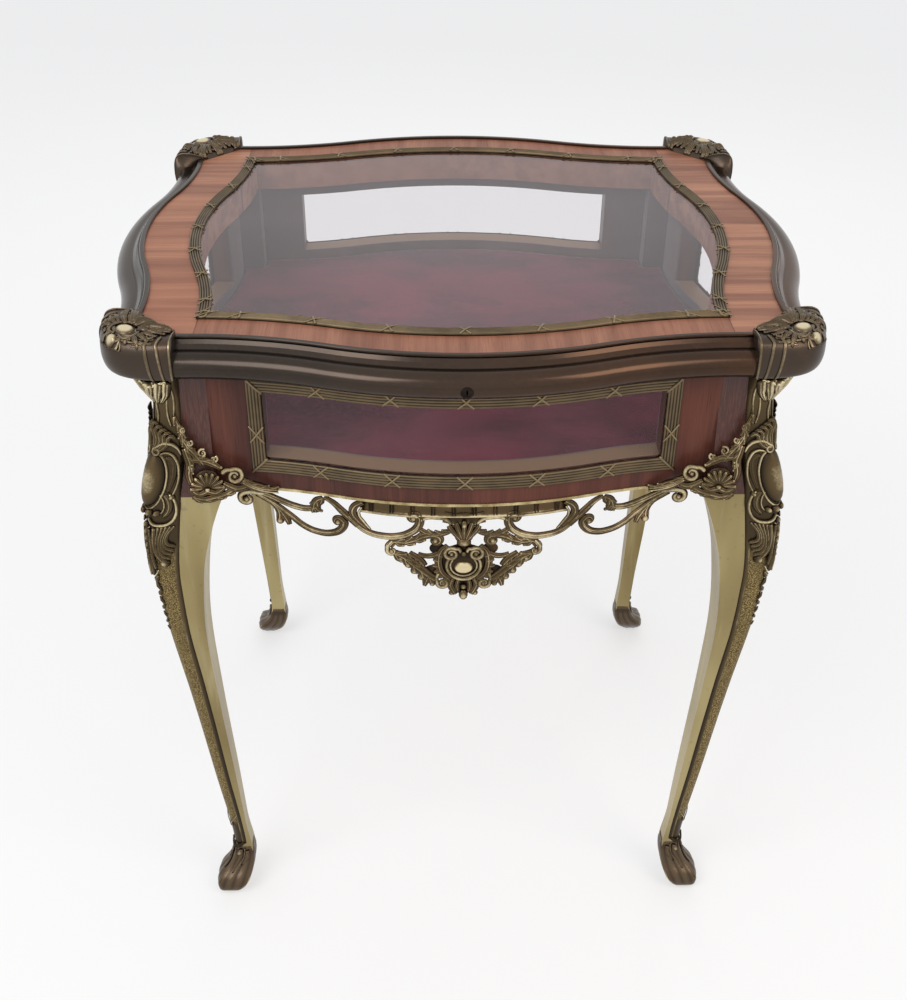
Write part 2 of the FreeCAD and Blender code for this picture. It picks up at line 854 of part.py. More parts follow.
# lock: a barrel in the front rail, and a hook that turns down behind the strike plate
slot_half = cam_thickness / 2 + cam_slot_clearance
slot_top = lock_height + cam_outer_radius * math.sin(math.radians(cam_sector)) + cam_slot_clearance
slot_front = cam_plane_out + slot_half
hub_radius = lock_plug_radius + lock_hub_wall
cam_slot = box(-hub_radius - hub_play, cam_outer_radius + cam_slot_clearance,
               -slot_front, -cam_plane_out + slot_half, lid_under - cut_past, slot_top)
barrel_bore = along_y(lock_barrel_radius, far, slot_front, 0, lock_height)
mouldings["front"] = mouldings["front"].cut(barrel_bore)

barrel = along_y(lock_barrel_radius, lock_face_out, slot_front, 0, lock_height)
barrel = barrel.cut(along_y(lock_plug_radius + lock_plug_clearance, far, 0, 0, lock_height))
save("lock_barrel", barrel)


def cam_shape():
    """Plug with its key slot, an arm, and the ring-shaped hook."""
    inner = cam_plane_out - cam_thickness / 2
    outer = cam_plane_out + cam_thickness / 2
    plug = along_y(lock_plug_radius, lock_face_out - plug_setback, inner, 0, lock_height)
    key = box(-key_slot_width / 2, key_slot_width / 2, -far, -lock_face_out + key_slot_depth,
              lock_height - key_slot_drop, lock_height + key_slot_rise)
    hub = along_y(hub_radius, outer, inner, 0, lock_height)
    hook = along_y(cam_outer_radius, outer, inner, 0, lock_height)
    hook = hook.cut(along_y(cam_inner_radius, outer, inner, 0, lock_height))
    origin = Vector(0, -outer, lock_height)
    rim = Vector(cam_outer_radius * 2, 0, 0)
    upper = FreeCAD.Rotation(Vector(0, 1, 0), -cam_sector).multVec(rim)
    sector = Part.Face(Part.makePolygon([origin, origin + rim, origin + upper, origin]))
    hook = hook.common(sector.extrude(Vector(0, cam_thickness, 0)))
    width = cam_outer_radius - cam_inner_radius
    arm = box(hub_radius - arm_root, cam_inner_radius + width / 2, -outer, -inner,
              lock_height - width, lock_height)
    arm.rotate(Vector(0, 0, lock_height), Vector(0, 1, 0), -cam_sector)
    return plug.cut(key).fuse([hub, hook, arm]).removeSplitter()


save("lock_cam", cam_shape())

strike_low = case_top - strike_thickness
slot_start = math.sqrt(cam_inner_radius ** 2 - (lock_height - strike_low) ** 2) - strike_slot_play
slot_end = math.sqrt(cam_outer_radius ** 2 - (lock_height - case_top) ** 2) + strike_slot_play
strike_left = slot_start - cam_outer_radius
strike_right = slot_end + strike_end_margin
strike_recess = box(strike_left, strike_right, -cam_plane_out - strike_half_width,
                    -cam_plane_out + strike_half_width, strike_low, case_top)
strike_pocket = box(slot_start - hub_radius - pocket_play, slot_end + hub_play,
                    -slot_front, -cam_plane_out + slot_half,
                    lock_height - cam_outer_radius - cam_slot_clearance, case_top)
strike_slot = box(slot_start, slot_end, -slot_front, -cam_plane_out + slot_half,
                  strike_low - cut_past, case_top + cut_past)


def screw(x, out, head_z, sign):
    """Countersunk screw with its head face at head_z, driven along sign Z."""
    head = screw_head_radius - screw_radius
    axis = Vector(0, 0, sign)
    cone = Part.makeCone(screw_head_radius, screw_radius, head, Vector(x, -out, head_z), axis)
    shank = Part.makeCylinder(screw_radius, screw_length, Vector(x, -out, head_z), axis)
    return cone.fuse(shank).removeSplitter()


strike_screw_x = (strike_left + strike_screw_inset, strike_right - strike_screw_inset)
strike_screws = Part.makeCompound([screw(x, cam_plane_out, case_top, -1) for x in strike_screw_x])
strike = strike_recess.cut(strike_slot).cut(strike_screws)
save("lock_strike", strike)
save("strike_screws", strike_screws)
apron_solids["front"] = apron_solids["front"].cut(strike_recess).cut(strike_pocket).cut(strike_screws)

# hinges, made as seen on the front and turned to the back
lid_leaf_low = lid_under - leaf_thickness
base_leaf_high = lid_leaf_low - leaf_gap
base_leaf_low = base_leaf_high - leaf_thickness
leaf_end = hinge_axis_out - leaf_reach
knuckle_length = (hinge_length - (knuckle_count - 1) * knuckle_gap) / knuckle_count


def along_x(radius, x0, x1):
    start = Vector(x0, -hinge_axis_out, hinge_axis_height)
    return Part.makeCylinder(radius, x1 - x0, start, Vector(1, 0, 0))


def hinge_leaf(centre, low, high, own, bore):
    """A leaf with its own knuckles; own is 0 for the outer and middle ones."""
    start = centre - hinge_length / 2
    leaf = box(start, start + hinge_length, -hinge_axis_out, -leaf_end, low, high)
    barrel_parts = []
    for i in range(knuckle_count):
        x0 = start + i * (knuckle_length + knuckle_gap)
        x1 = x0 + knuckle_length
        if i % 2 == own:
            barrel_parts.append(along_x(knuckle_radius, x0, x1))
        else:
            edge = -hinge_axis_out + knuckle_radius + knuckle_gap
            gap = box(x0 - knuckle_gap, x1 + knuckle_gap, -far, edge, low - cut_past, high + cut_past)
            leaf = leaf.cut(gap)
    whole = leaf.fuse(barrel_parts).removeSplitter()
    return whole.cut(along_x(bore, start - cut_past, start + hinge_length + cut_past))


base_leaves = []
lid_leaves = []
pins = []
base_screws = []
lid_screws = []
leaf_recesses = []
for centre in (-hinge_centre, hinge_centre):
    holes = [(centre + side * screw_pitch / 2, leaf_end + screw_inset) for side in (-1, 1)]
    base_pair = [screw(x, out, base_leaf_high, -1) for x, out in holes]
    lid_pair = [screw(x, out, lid_leaf_low, 1) for x, out in holes]
    base = hinge_leaf(centre, base_leaf_low, base_leaf_high, 0, hinge_pin_radius)
    upper = hinge_leaf(centre, lid_leaf_low, lid_under, 1, hinge_pin_radius + hinge_pin_clearance)
    base_leaves.append(base.cut(Part.makeCompound(base_pair)))
    lid_leaves.append(upper.cut(Part.makeCompound(lid_pair)))
    base_screws += base_pair
    lid_screws += lid_pair
    start = centre - hinge_length / 2
    pins.append(along_x(hinge_pin_radius, start, start + hinge_length))
    leaf_recesses.append(box(start - leaf_gap, start + hinge_length + leaf_gap, -far, -leaf_end + leaf_gap,
                             base_leaf_low, case_top + cut_past))

base_screws = turned(Part.makeCompound(base_screws), 180)
lid_screws = turned(Part.makeCompound(lid_screws), 180)
leaf_recesses = turned(Part.makeCompound(leaf_recesses), 180)
save("hinge_base_leaves", turned(Part.makeCompound(base_leaves), 180))
save("hinge_lid_leaves", turned(Part.makeCompound(lid_leaves), 180))
save("hinge_pins", turned(Part.makeCompound(pins), 180))
save("hinge_base_screws", base_screws)
save("hinge_lid_screws", lid_screws)
apron_solids["back"] = apron_solids["back"].cut(leaf_recesses).cut(base_screws)

for name, angle, lid_bow, case_bow, reed_bow, half in sides:
    save("apron_" + name, apron_solids[name].fuse(tenons[name]).removeSplitter())
    save("moulding_" + name, mouldings[name])

side_rails = ring.cut(front_box).cut(back_box).Solids
side_rails.sort(key=lambda solid: solid.CenterOfMass.x)
save("lid_rail_left", side_rails[0])
save("lid_rail_right", side_rails[-1])
save("lid_rail_front", ring.common(front_box).cut(barrel_bore).cut(cam_slot))
save("lid_rail_back", ring.common(back_box).cut(lid_screws))

glass_low = top_height - lid_glass_thickness
save("lid_glass", outline_plate(reed_front, reed_side, -reed_cover, glass_low, top_height))


def reed_frame():
    """Four reeded strips over the edge of the glass, mitred at the corners."""
    high = top_height + reed_height
    frame = outline_plate(reed_front, reed_side, 0, top_height, high)
    inside = outline_plate(reed_front, reed_side, -reed_width, top_height - cut_past, high + cut_past)
    frame = frame.cut(inside)
    x1, y1 = corner_of(reed_front, reed_side)
    x0, y0 = corner_of(reed_front, reed_side, -reed_width, -reed_width)
    dx = (x1 - x0) * mitre_run
    dy = (y1 - y0) * mitre_run
    wedges = {
        "front": [(-x1 - dx, -y1 - dy), (x1 + dx, -y1 - dy), (x1 - dx, -y1 + dy), (-x1 + dx, -y1 + dy)],
        "back": [(-x1 - dx, y1 + dy), (x1 + dx, y1 + dy), (x1 - dx, y1 - dy), (-x1 + dx, y1 - dy)],
    }
    strips = []
    rest = frame
    for points in wedges.values():
        flat = [Vector(x, y, top_height - cut_past) for x, y in points]
        lift = Vector(0, 0, reed_height + 2 * cut_past)
        wedge = Part.Face(Part.makePolygon(flat + flat[:1])).extrude(lift)
        strips.append(frame.common(wedge))
        rest = rest.cut(wedge)
    return Part.makeCompound(strips + rest.Solids)


save("lid_reed_frame", reed_frame())


def vertical_edge(solid, x, y):
    """The upright edge of a solid that is nearest to a point in plan."""
    def distance(edge):
        ends = [v.Point for v in edge.Vertexes]
        if len(ends) < 2 or abs(ends[0].x - ends[1].x) + abs(ends[0].y - ends[1].y) > 0.01:
            return far
        return math.hypot(ends[0].x - x, ends[0].y - y)
    return min(solid.Edges, key=distance)


def cap_shape():
    """Casting that covers a corner of the moulding, in the +X +Y corner."""
    low = top_height - torus_centre_drop - torus_radius + cap_hem_lift
    high = top_height + cap_rise
    plate = outline_plate(lid_front, lid_side, cap_overhang, low, high)
    start_x = lid_corner_x - cap_reach_x
    start_y = lid_corner_y - cap_reach_y
    block = plate.common(box(start_x, far, start_y, far, low - cut_past, high + cut_past))
    outer_x, outer_y = corner_of(lid_front, lid_side, cap_overhang, cap_overhang)
    block = block.makeFillet(cap_round, [vertical_edge(block, outer_x, outer_y)])
    block = block.makeFillet(cap_inner_round, [vertical_edge(block, start_x, start_y)])
    rim = [edge for edge in block.Edges if min(v.Z for v in edge.Vertexes) > high - same_height]
    return block.makeFillet(cap_top_round, rim)


cap = cap_shape()
cap_away = Part.makeCompound([ring] + list(mouldings.values()))
for name, sx, sy in corners:
    solid = placed_at_corner(cap, sx, sy).cut(cap_away)
    save("corner_cap_" + name, max(solid.Solids, key=lambda s: s.Volume))
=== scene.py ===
# Collectors display table: finishes, cast ornament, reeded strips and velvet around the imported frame
import math
import bmesh
import bpy
from mathutils import Matrix, Vector
from mathutils.bvhtree import BVHTree


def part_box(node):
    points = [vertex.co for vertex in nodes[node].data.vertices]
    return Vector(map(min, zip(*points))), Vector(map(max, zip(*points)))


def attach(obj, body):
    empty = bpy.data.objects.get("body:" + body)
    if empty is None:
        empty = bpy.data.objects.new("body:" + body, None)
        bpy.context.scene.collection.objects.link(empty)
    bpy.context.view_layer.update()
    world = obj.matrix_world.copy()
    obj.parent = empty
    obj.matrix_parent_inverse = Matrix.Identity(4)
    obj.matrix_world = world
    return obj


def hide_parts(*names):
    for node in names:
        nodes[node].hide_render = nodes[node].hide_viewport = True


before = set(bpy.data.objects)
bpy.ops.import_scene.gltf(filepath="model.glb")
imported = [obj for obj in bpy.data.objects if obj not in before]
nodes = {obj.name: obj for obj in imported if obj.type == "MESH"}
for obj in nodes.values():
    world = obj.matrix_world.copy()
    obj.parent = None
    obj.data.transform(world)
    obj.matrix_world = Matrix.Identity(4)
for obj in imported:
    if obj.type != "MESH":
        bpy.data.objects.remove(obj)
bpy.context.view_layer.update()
mm = 0.001

# plan curves as (middle, hollow, place of the hollow) from the centre of the table, in millimetres
plan = {
    "caseFront": (288.5, 253.0, 250.0),
    "caseSide": (317.0, 289.0, 190.0),
    "reedFront": (248.0, 212.6, 249.0),
    "reedSide": (283.0, 249.0, 212.6),
}
topHeight = 760.0
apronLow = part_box("apron_front")[0].z
sideTurns = {"front": 0, "right": 90, "back": 180, "left": -90}
corners = {"front_left": (-1, -1), "front_right": (1, -1), "back_right": (1, 1), "back_left": (-1, 1)}


def lengthwise(side):
    return side in ("front", "back")


def bowOut(bow, along, off=0.0):
    # distance of the offset curve from the centre line: a round bow between two round hollows
    mid, trough, troughAt = bow
    rise = (mid - trough) / 2
    radius = ((troughAt / 2) ** 2 + rise ** 2) / (2 * rise)
    turn = math.asin(troughAt / 2 / radius)
    a = abs(along)
    if a <= troughAt / 2 + off * math.sin(turn):
        return mid - radius + math.sqrt((radius + off) ** 2 - a * a)
    return trough + radius - math.sqrt((radius - off) ** 2 - (a - troughAt) ** 2)


def curveCorner(front, side, off):
    # where two neighbouring curves meet, closed in on from both
    x, y = side[0], front[0]
    for turn in range(30):
        x, y = bowOut(side, y, off), bowOut(front, x, off)
    return x, y


def ease(low, high, value):
    t = min(max((value - low) / (high - low), 0.0), 1.0)
    return t * t * (3 - 2 * t)


def between(rows, z):
    # value of a table of (height, value) rows at a height
    rows = sorted(rows)
    if z <= rows[0][0]:
        return rows[0][1]
    for (z0, v0), (z1, v1) in zip(rows, rows[1:]):
        if z <= z1:
            return v0 + (v1 - v0) * (z - z0) / (z1 - z0)
    return rows[-1][1]


def newObject(name, data):
    obj = bpy.data.objects.new(name, data)
    bpy.context.scene.collection.objects.link(obj)
    return obj


def newMesh(name, mesh):
    # a bmesh turned into a mesh, and freed
    data = bpy.data.meshes.new(name)
    mesh.to_mesh(data)
    mesh.free()
    return data


def merge(mesh, reach=0.00001):
    bmesh.ops.remove_doubles(mesh, verts=mesh.verts[:], dist=reach)


def copyOf(name):
    # a CAD node as a bmesh, merged
    mesh = bmesh.new()
    mesh.from_mesh(nodes[name].data)
    merge(mesh, 0.000001)
    return mesh


# shader recipes: a Wire is a socket with arithmetic, and each operator adds a Math node
class Wire:
    def __init__(self, recipe, socket):
        self.recipe = recipe
        self.socket = socket

    def __add__(self, other):
        return self.recipe.maths("ADD", self, other)

    def __radd__(self, other):
        return self.recipe.maths("ADD", other, self)

    def __sub__(self, other):
        return self.recipe.maths("SUBTRACT", self, other)

    def __rsub__(self, other):
        return self.recipe.maths("SUBTRACT", other, self)

    def __mul__(self, other):
        return self.recipe.maths("MULTIPLY", self, other)

    def __rmul__(self, other):
        return self.recipe.maths("MULTIPLY", other, self)

    def atLeast(self, other):
        return self.recipe.maths("MAXIMUM", self, other)

    def atMost(self, other):
        return self.recipe.maths("MINIMUM", self, other)

    def size(self):
        return self.recipe.maths("ABSOLUTE", self, 0.0)

    def step(self, low, high):
        # smooth rise from 0 to 1 between two values
        return self.recipe.add("ShaderNodeMapRange", {"interpolation_type": "SMOOTHSTEP"},
                               {"Value": self, "From Min": low, "From Max": high})


class Recipe:
    def __init__(self, owner, output="ShaderNodeOutputMaterial"):
        owner.use_nodes = True
        self.owner = owner
        self.tree = owner.node_tree
        self.tree.nodes.clear()
        self.output = self.tree.nodes.new(output)

    def add(self, kind, settings=None, sockets=None, out=0):
        node = self.tree.nodes.new(kind)
        for key, value in (settings or {}).items():
            setattr(node, key, value)
        for key, value in (sockets or {}).items():
            if isinstance(value, Wire):
                self.tree.links.new(value.socket, node.inputs[key])
            else:
                node.inputs[key].default_value = value
        return Wire(self, node.outputs[out])

    def maths(self, operation, a, b):
        return self.add("ShaderNodeMath", {"operation": operation}, {0: a, 1: b})

    def place(self):
        # the piece's own Object coordinates
        return self.add("ShaderNodeTexCoord", out=3)

    def axis(self, vector, index):
        return self.add("ShaderNodeSeparateXYZ", sockets={0: vector}, out=index)

    def noise(self, vector, scale, detail=2.0, rough=0.5):
        return self.add("ShaderNodeTexNoise", {"noise_dimensions": "3D"},
                        {"Vector": vector, "Scale": scale, "Detail": detail, "Roughness": rough})

    def drawn(self, vector, stretch, detail=3, rough=0.6):
        # noise drawn out by a different scale along each axis
        along = self.add("ShaderNodeMapping", sockets={"Vector": vector, "Scale": stretch})
        return self.noise(along, 1.0, detail, rough)

    def cells(self, vector, scale):
        return self.add("ShaderNodeTexVoronoi", {"feature": "F1"}, {"Vector": vector, "Scale": scale})

    def attribute(self, name):
        return self.add("ShaderNodeAttribute", {"attribute_name": name}, out=2)

    def blend(self, factor, a, b):
        # colour mix
        a = a if isinstance(a, Wire) else (*a, 1)
        b = b if isinstance(b, Wire) else (*b, 1)
        return self.add("ShaderNodeMix", {"data_type": "RGBA"}, {0: factor, 6: a, 7: b}, out=2)

    def bump(self, height, distance, strength=1.0, normal=None):
        sockets = {"Height": height, "Distance": distance, "Strength": strength}
        if normal is not None:
            sockets["Normal"] = normal
        return self.add("ShaderNodeBump", sockets=sockets)

    def principled(self, colour, sockets):
        colour = colour if isinstance(colour, Wire) else (*colour, 1)
        return self.add("ShaderNodeBsdfPrincipled", sockets={"Base Color": colour, **sockets})

    def finish(self, shader):
        self.tree.links.new(shader.socket, self.output.inputs["Surface"])
        return self.owner

    def surface(self, colour, rough, normal, sockets):
        # a whole material from one shader
        return self.finish(self.principled(colour, {"Roughness": rough, "Normal": normal, **sockets}))


def newRecipe(name):
    return Recipe(bpy.data.materials.new(name))


def rgb(red, green, blue):
    # a colour written as 0 to 255, as a screen shows it
    out = []
    for c in (red / 255, green / 255, blue / 255):
        out.append(c / 12.92 if c <= 0.04045 else ((c + 0.055) / 1.055) ** 2.4)
    return tuple(out)


# cast metal coloured by relief: recesses darkened by patina and painted shade, crests lightened by rubbed
# wear and a painted highlight; the last span sets where crests shine
castLook = {
    "recess": rgb(40, 33, 26),
    "body": rgb(98, 82, 56),
    "crest": rgb(230, 214, 172),
    "warm": rgb(130, 92, 62),
    "span": (0.05, 0.90),
    "wornAndLit": (0.74, 1.16),
    "patch": (38, 4, 0.6),
    "fine": (420, 3, 0.6),
    "metal": 0.92,
    "rough": 0.34,
}
capFinish = {
    **castLook,
    "recess": rgb(70, 61, 54),
    "body": rgb(104, 90, 70),
    "crest": rgb(222, 208, 172),
    "warm": rgb(96, 72, 54),
    "wornAndLit": (0.85, 1.45),
    "rough": 0.30,
}
shoeFinish = {
    **castLook,
    "recess": rgb(64, 54, 47),
    "body": rgb(104, 88, 68),
    "crest": rgb(200, 184, 146),
    "warm": rgb(92, 66, 52),
    "wornAndLit": (0.85, 1.40),
    "rough": 0.28,
}


def castBrass(name, look):
    r = newRecipe(name)
    place = r.place()
    relief = r.attribute("relief")
    patch = r.noise(place, *look["patch"])
    fine = r.noise(place, *look["fine"])
    # painted light: relief lightens tops with a painted highlight and darkens recesses with painted
    # shade, mixed with patchy wear
    wornAndLit = (relief + (patch - 0.5) * 0.9 + (fine - 0.5) * 0.3).step(*look["wornAndLit"])
    low = r.blend(relief.step(*look["span"]), look["recess"], look["body"])
    low = r.blend((patch - 0.45).step(0.0, 0.3) * 0.35, low, look["warm"])
    colour = r.blend(wornAndLit * 0.9, low, look["crest"])
    rough = look["rough"] - wornAndLit * 0.14 + fine * 0.08
    normal = r.bump(fine * 0.6 + patch * 0.4, 0.0004, 0.4)
    return r.surface(colour, rough, normal, {"Metallic": look["metal"]})


# veneers: grain is the axis along which the wood runs, joint the place of a seam across it, sill
# the height below which a cut edge is bare
apronLook = {
    "grain": 2,
    "dark": rgb(64, 34, 28),
    "light": rgb(98, 56, 44),
    "streak": rgb(54, 27, 25),
    "warm": rgb(112, 58, 40),
    "pore": rgb(38, 20, 19),
    "bare": rgb(134, 104, 76),
    "pores": 0.5,
    "joint": 0,
    "sill": 0.6352,
    "rough": 0.36,
    "coat": 0.06,
    "coatRough": 0.12,
    "gloss": 0.22,
}
lidLook = {
    **apronLook,
    "grain": 1,
    "dark": rgb(124, 80, 62),
    "light": rgb(156, 108, 86),
    "streak": rgb(100, 62, 48),
    "warm": rgb(150, 92, 64),
    "pore": rgb(76, 44, 35),
    "pores": 0.55,
    "joint": 0.247,
    "sill": 0,
    "rough": 0.42,
}
lidSideLook = {**lidLook, "grain": 0, "light": rgb(176, 124, 96), "pores": 0.35}
boardLook = {
    **apronLook,
    "grain": 0,
    "dark": rgb(96, 62, 44),
    "light": rgb(138, 98, 70),
    "streak": rgb(80, 50, 36),
    "warm": rgb(128, 84, 56),
    "pore": rgb(52, 32, 24),
    "pores": 0.4,
    "sill": 0,
    "rough": 0.55,
    "coat": 0.0,
}
# scales of the figure along and across the grain, and the width of a seam
veneerLook = {
    "broad": (2.5, 60.0),
    "fine": (14.0, 900.0),
    "pore": (28.0, 1500.0),
    "seam": (0.0003, 0.0008),
}


def veneer(name, look):
    # grain runs along one axis; fine dark pores, broader figure and a waxed polish
    r = newRecipe(name)
    place = r.place()

    def running(kind, detail, rough):
        along, across = veneerLook[kind]
        stretch = tuple(along if i == look["grain"] else across for i in range(3))
        return r.drawn(place, stretch, detail, rough)

    warp = r.noise(place, 5, 2, 0.5)
    figure = running("broad", 4, 0.6)
    grain = running("fine", 3, 0.65)
    pores = running("pore", 2, 0.5).step(0.60, 0.74)
    colour = r.blend(figure.step(0.30, 0.72), look["dark"], look["light"])
    colour = r.blend(grain.step(0.45, 0.78) * 0.55, colour, look["streak"])
    colour = r.blend((warp - 0.45).step(0.0, 0.25) * 0.4, colour, look["warm"])
    colour = r.blend(pores * look["pores"], colour, look["pore"])
    if look["joint"]:
        seam = 1 - (r.axis(place, 0).size() - look["joint"]).size().step(*veneerLook["seam"])
        colour = r.blend(seam * 0.75, colour, look["pore"])
    if look["sill"]:
        # cut edge of the panel inside a window, bare and paler than the veneer
        up = r.axis(r.add("ShaderNodeNewGeometry", out=1), 2)
        bare = up.step(0.6, 0.8) * r.axis(place, 2).step(look["sill"] + 0.003, look["sill"])
        colour = r.blend(bare, colour, look["bare"])
    rough = look["rough"] + grain * 0.10 + pores * 0.12
    normal = r.bump(1 - pores, 0.00012, 0.35, r.bump(grain, 0.0001, 0.25))
    wax = {"Coat Weight": look["coat"], "Coat Roughness": look["coatRough"]}
    return r.surface(colour, rough, normal, {**wax, "Specular IOR Level": look["gloss"]})


# polished brass leg under a post that is veneered like the aprons
legLook = {
    "dull": rgb(128, 111, 72),
    "bright": rgb(178, 163, 118),
    "streak": rgb(206, 196, 158),
    "spot": rgb(110, 92, 60),
    "seam": (-0.0045, -0.0035),
    "cloud": (9.0, 9.0, 2.4),
    "streakStretch": (60.0, 60.0, 3.0),
    "grain": (900.0, 900.0, 14.0),
    "metal": 0.88,
    "rough": 0.26,
}


def legBrass(name, look):
    r = newRecipe(name)
    place = r.place()
    post = r.axis(place, 2).step(*(apronLow + rise for rise in look["seam"]))
    # painted reflection: the cloud between dark and bright and the long light streaks stand for
    # surroundings mirrored in the polished brass
    cloud = r.drawn(place, look["cloud"], 3, 0.55)
    streak = r.drawn(place, look["streakStretch"])
    spots = r.noise(place, 150, 2, 0.5)
    colour = r.blend(cloud.step(0.30, 0.68), look["dull"], look["bright"])
    colour = r.blend(streak.step(0.52, 0.75) * 0.30, colour, look["streak"])
    colour = r.blend(spots.step(0.64, 0.72) * 0.25, colour, look["spot"])
    grain = r.drawn(place, look["grain"], 3, 0.65)
    wood = r.blend(grain.step(0.40, 0.78), apronLook["dark"], apronLook["light"])
    colour = r.blend(post, colour, wood)
    rough = look["rough"] + streak * 0.10 + spots * 0.05 + post * 0.08
    metal = look["metal"] - post * look["metal"]
    return r.surface(colour, rough, r.bump(cloud, 0.0015, 0.25), {"Metallic": metal})


# long mount on the leg: matted ground between raised borders, cast ornament above
mountFinish = {
    "ground": rgb(186, 166, 112),
    "pit": rgb(92, 74, 44),
    "dull": rgb(112, 96, 62),
    "pits": 860,
    "wornAndLit": (0.72, 1.25),
    "metal": 0.90,
    "rough": 0.44,
}


def mountBrass(name, look):
    r = newRecipe(name)
    place = r.place()
    relief = r.attribute("relief")
    panel = r.attribute("panel")
    fine = r.noise(place, 520, 3, 0.6)
    patch = r.noise(place, 30, 4, 0.6)
    pits = r.cells(place, look["pits"]).step(0.18, 0.62)
    matted = r.blend(pits, look["ground"], look["pit"])
    matted = r.blend((patch - 0.42).step(0.0, 0.3) * 0.5, matted, look["dull"])
    # painted light by relief, as on the cast metal: tops lightened, recesses darkened, mixed with patchy
    # wear
    wornAndLit = (relief + (patch - 0.5) * 0.8 + (fine - 0.5) * 0.3).step(*look["wornAndLit"])
    cast = r.blend(relief.step(*castLook["span"]), castLook["recess"], castLook["body"])
    cast = r.blend(wornAndLit, cast, castLook["crest"])
    rough = look["rough"] - wornAndLit * 0.18 + panel * 0.06
    height = (1 - pits) * panel * 0.8 + fine * 0.25
    colour = r.blend(panel, cast, matted)
    return r.surface(colour, rough, r.bump(height, 0.0006, 0.8), {"Metallic": look["metal"]})


mouldingLook = {
    "left": rgb(63, 55, 49),
    "right": rgb(76, 54, 40),
    "turn": (-0.20, 0.30),
    "dark": rgb(47, 41, 38),
    "fleck": rgb(110, 88, 66),
    "metal": 0.88,
    "rough": 0.17,
}


def mouldingBronze(name, look):
    r = newRecipe(name)
    place = r.place()
    long = r.noise(place, 7, 3, 0.5)
    fine = r.noise(place, 260, 3, 0.6)
    # painted light: greyer on the left and warmer on the right, as the light falls; the dark colours
    # stand partly for dark surroundings mirrored in the bronze, a painted reflection
    colour = r.blend(r.axis(place, 0).step(*look["turn"]), look["left"], look["right"])
    colour = r.blend(long.step(0.42, 0.62) * 0.45, colour, look["dark"])
    colour = r.blend((fine - 0.45).step(0.0, 0.3) * 0.08, colour, look["fleck"])
    rough = look["rough"] + fine * 0.06
    return r.surface(colour, rough, r.bump(fine, 0.0001, 0.08), {"Metallic": look["metal"]})


reededLook = {
    "groove": rgb(50, 41, 33),
    "reed": rgb(144, 126, 96),
    "stain": rgb(98, 78, 58),
    "wornAndLit": (0.20, 1.30),
    "metal": 0.88,
    "rough": 0.36,
}


def reededBrass(name, look):
    r = newRecipe(name)
    place = r.place()
    relief = r.attribute("relief")
    patch = r.noise(place, 45, 4, 0.6)
    fine = r.noise(place, 600, 2, 0.6)
    # painted shade in the grooves and a painted highlight on the reeds, mixed with patchy wear
    wornAndLit = (relief + (patch - 0.5) * 0.5).step(*look["wornAndLit"])
    colour = r.blend(wornAndLit, look["groove"], look["reed"])
    colour = r.blend((patch - 0.5).step(0.0, 0.25) * 0.35, colour, look["stain"])
    rough = look["rough"] + fine * 0.10
    return r.surface(colour, rough, r.bump(fine, 0.0002, 0.4), {"Metallic": look["metal"]})


# small plain fittings
edgeLook = {"dull": rgb(150, 132, 92), "bright": rgb(214, 198, 150), "metal": 0.92, "rough": 0.22}
keyholeLook = {"dull": rgb(34, 29, 26), "bright": rgb(58, 48, 40), "metal": 0.92, "rough": 0.40}
fittingLook = {"dull": rgb(120, 100, 66), "bright": rgb(168, 148, 104), "metal": 0.92, "rough": 0.30}


def plainBrass(name, look):
    r = newRecipe(name)
    place = r.place()
    patch = r.noise(place, 60, 4, 0.6)
    fine = r.noise(place, 500, 2, 0.6)
    colour = r.blend(patch.step(0.35, 0.70), look["dull"], look["bright"])
    rough = look["rough"] + fine * 0.12
    return r.surface(colour, rough, r.bump(fine, 0.0002, 0.3), {"Metallic": look["metal"]})


lidGlassLook = {"tint": (0.95, 0.94, 0.95), "mirror": 1.05}
windowGlassLook = {"tint": (0.93, 0.93, 0.93), "mirror": 0.45}


def clearGlass(name, look):
    # mirror share by angle over a clear body, with a few faint smears
    r = newRecipe(name)
    smear = r.drawn(r.place(), (3.0, 5.0, 3.0), 4)
    angle = r.add("ShaderNodeFresnel", sockets={"IOR": 1.52})
    leaving = r.add("ShaderNodeNewGeometry", out=6)
    share = (angle * look["mirror"] + smear.step(0.45, 0.9) * 0.03).atMost(0.95) * (1 - leaving)
    clear = r.add("ShaderNodeBsdfTransparent", sockets={"Color": (*look["tint"], 1)})
    sheen = r.principled((0.96, 0.93, 0.95), {"Metallic": 1.0, "Roughness": 0.02})
    return r.finish(r.add("ShaderNodeMixShader", sockets={0: share, 1: clear, 2: sheen}))


velvetLook = {
    "deep": rgb(66, 20, 34),
    "pile": rgb(120, 44, 62),
    "rub": rgb(140, 66, 82),
    "streakStretch": (7.0, 11.0, 7.0),
    "rough": 0.92,
}


def velvet(name, look):
    r = newRecipe(name)
    place = r.place()
    brushed = r.drawn(place, look["streakStretch"], 4)
    pile = r.noise(place, 1400, 2, 0.6)
    tufts = r.noise(place, 260, 3, 0.7)
    colour = r.blend(brushed.step(0.32, 0.68), look["deep"], look["pile"])
    colour = r.blend((tufts - 0.42).step(0.0, 0.35) * 0.45, colour, look["rub"])
    normal = r.bump(pile, 0.0003, 0.5, r.bump(brushed, 0.003, 0.2))
    nap = {"Sheen Weight": 0.3, "Sheen Roughness": 0.45, "Specular IOR Level": 0.15}
    return r.surface(colour, look["rough"], normal, nap)


liningLook = {
    "dark": rgb(84, 66, 64),
    "light": rgb(106, 86, 82),
    "thread": rgb(70, 54, 54),
    "threads": {"Z": 700.0, "DIAGONAL": 500.0},
    "rough": 0.88,
}


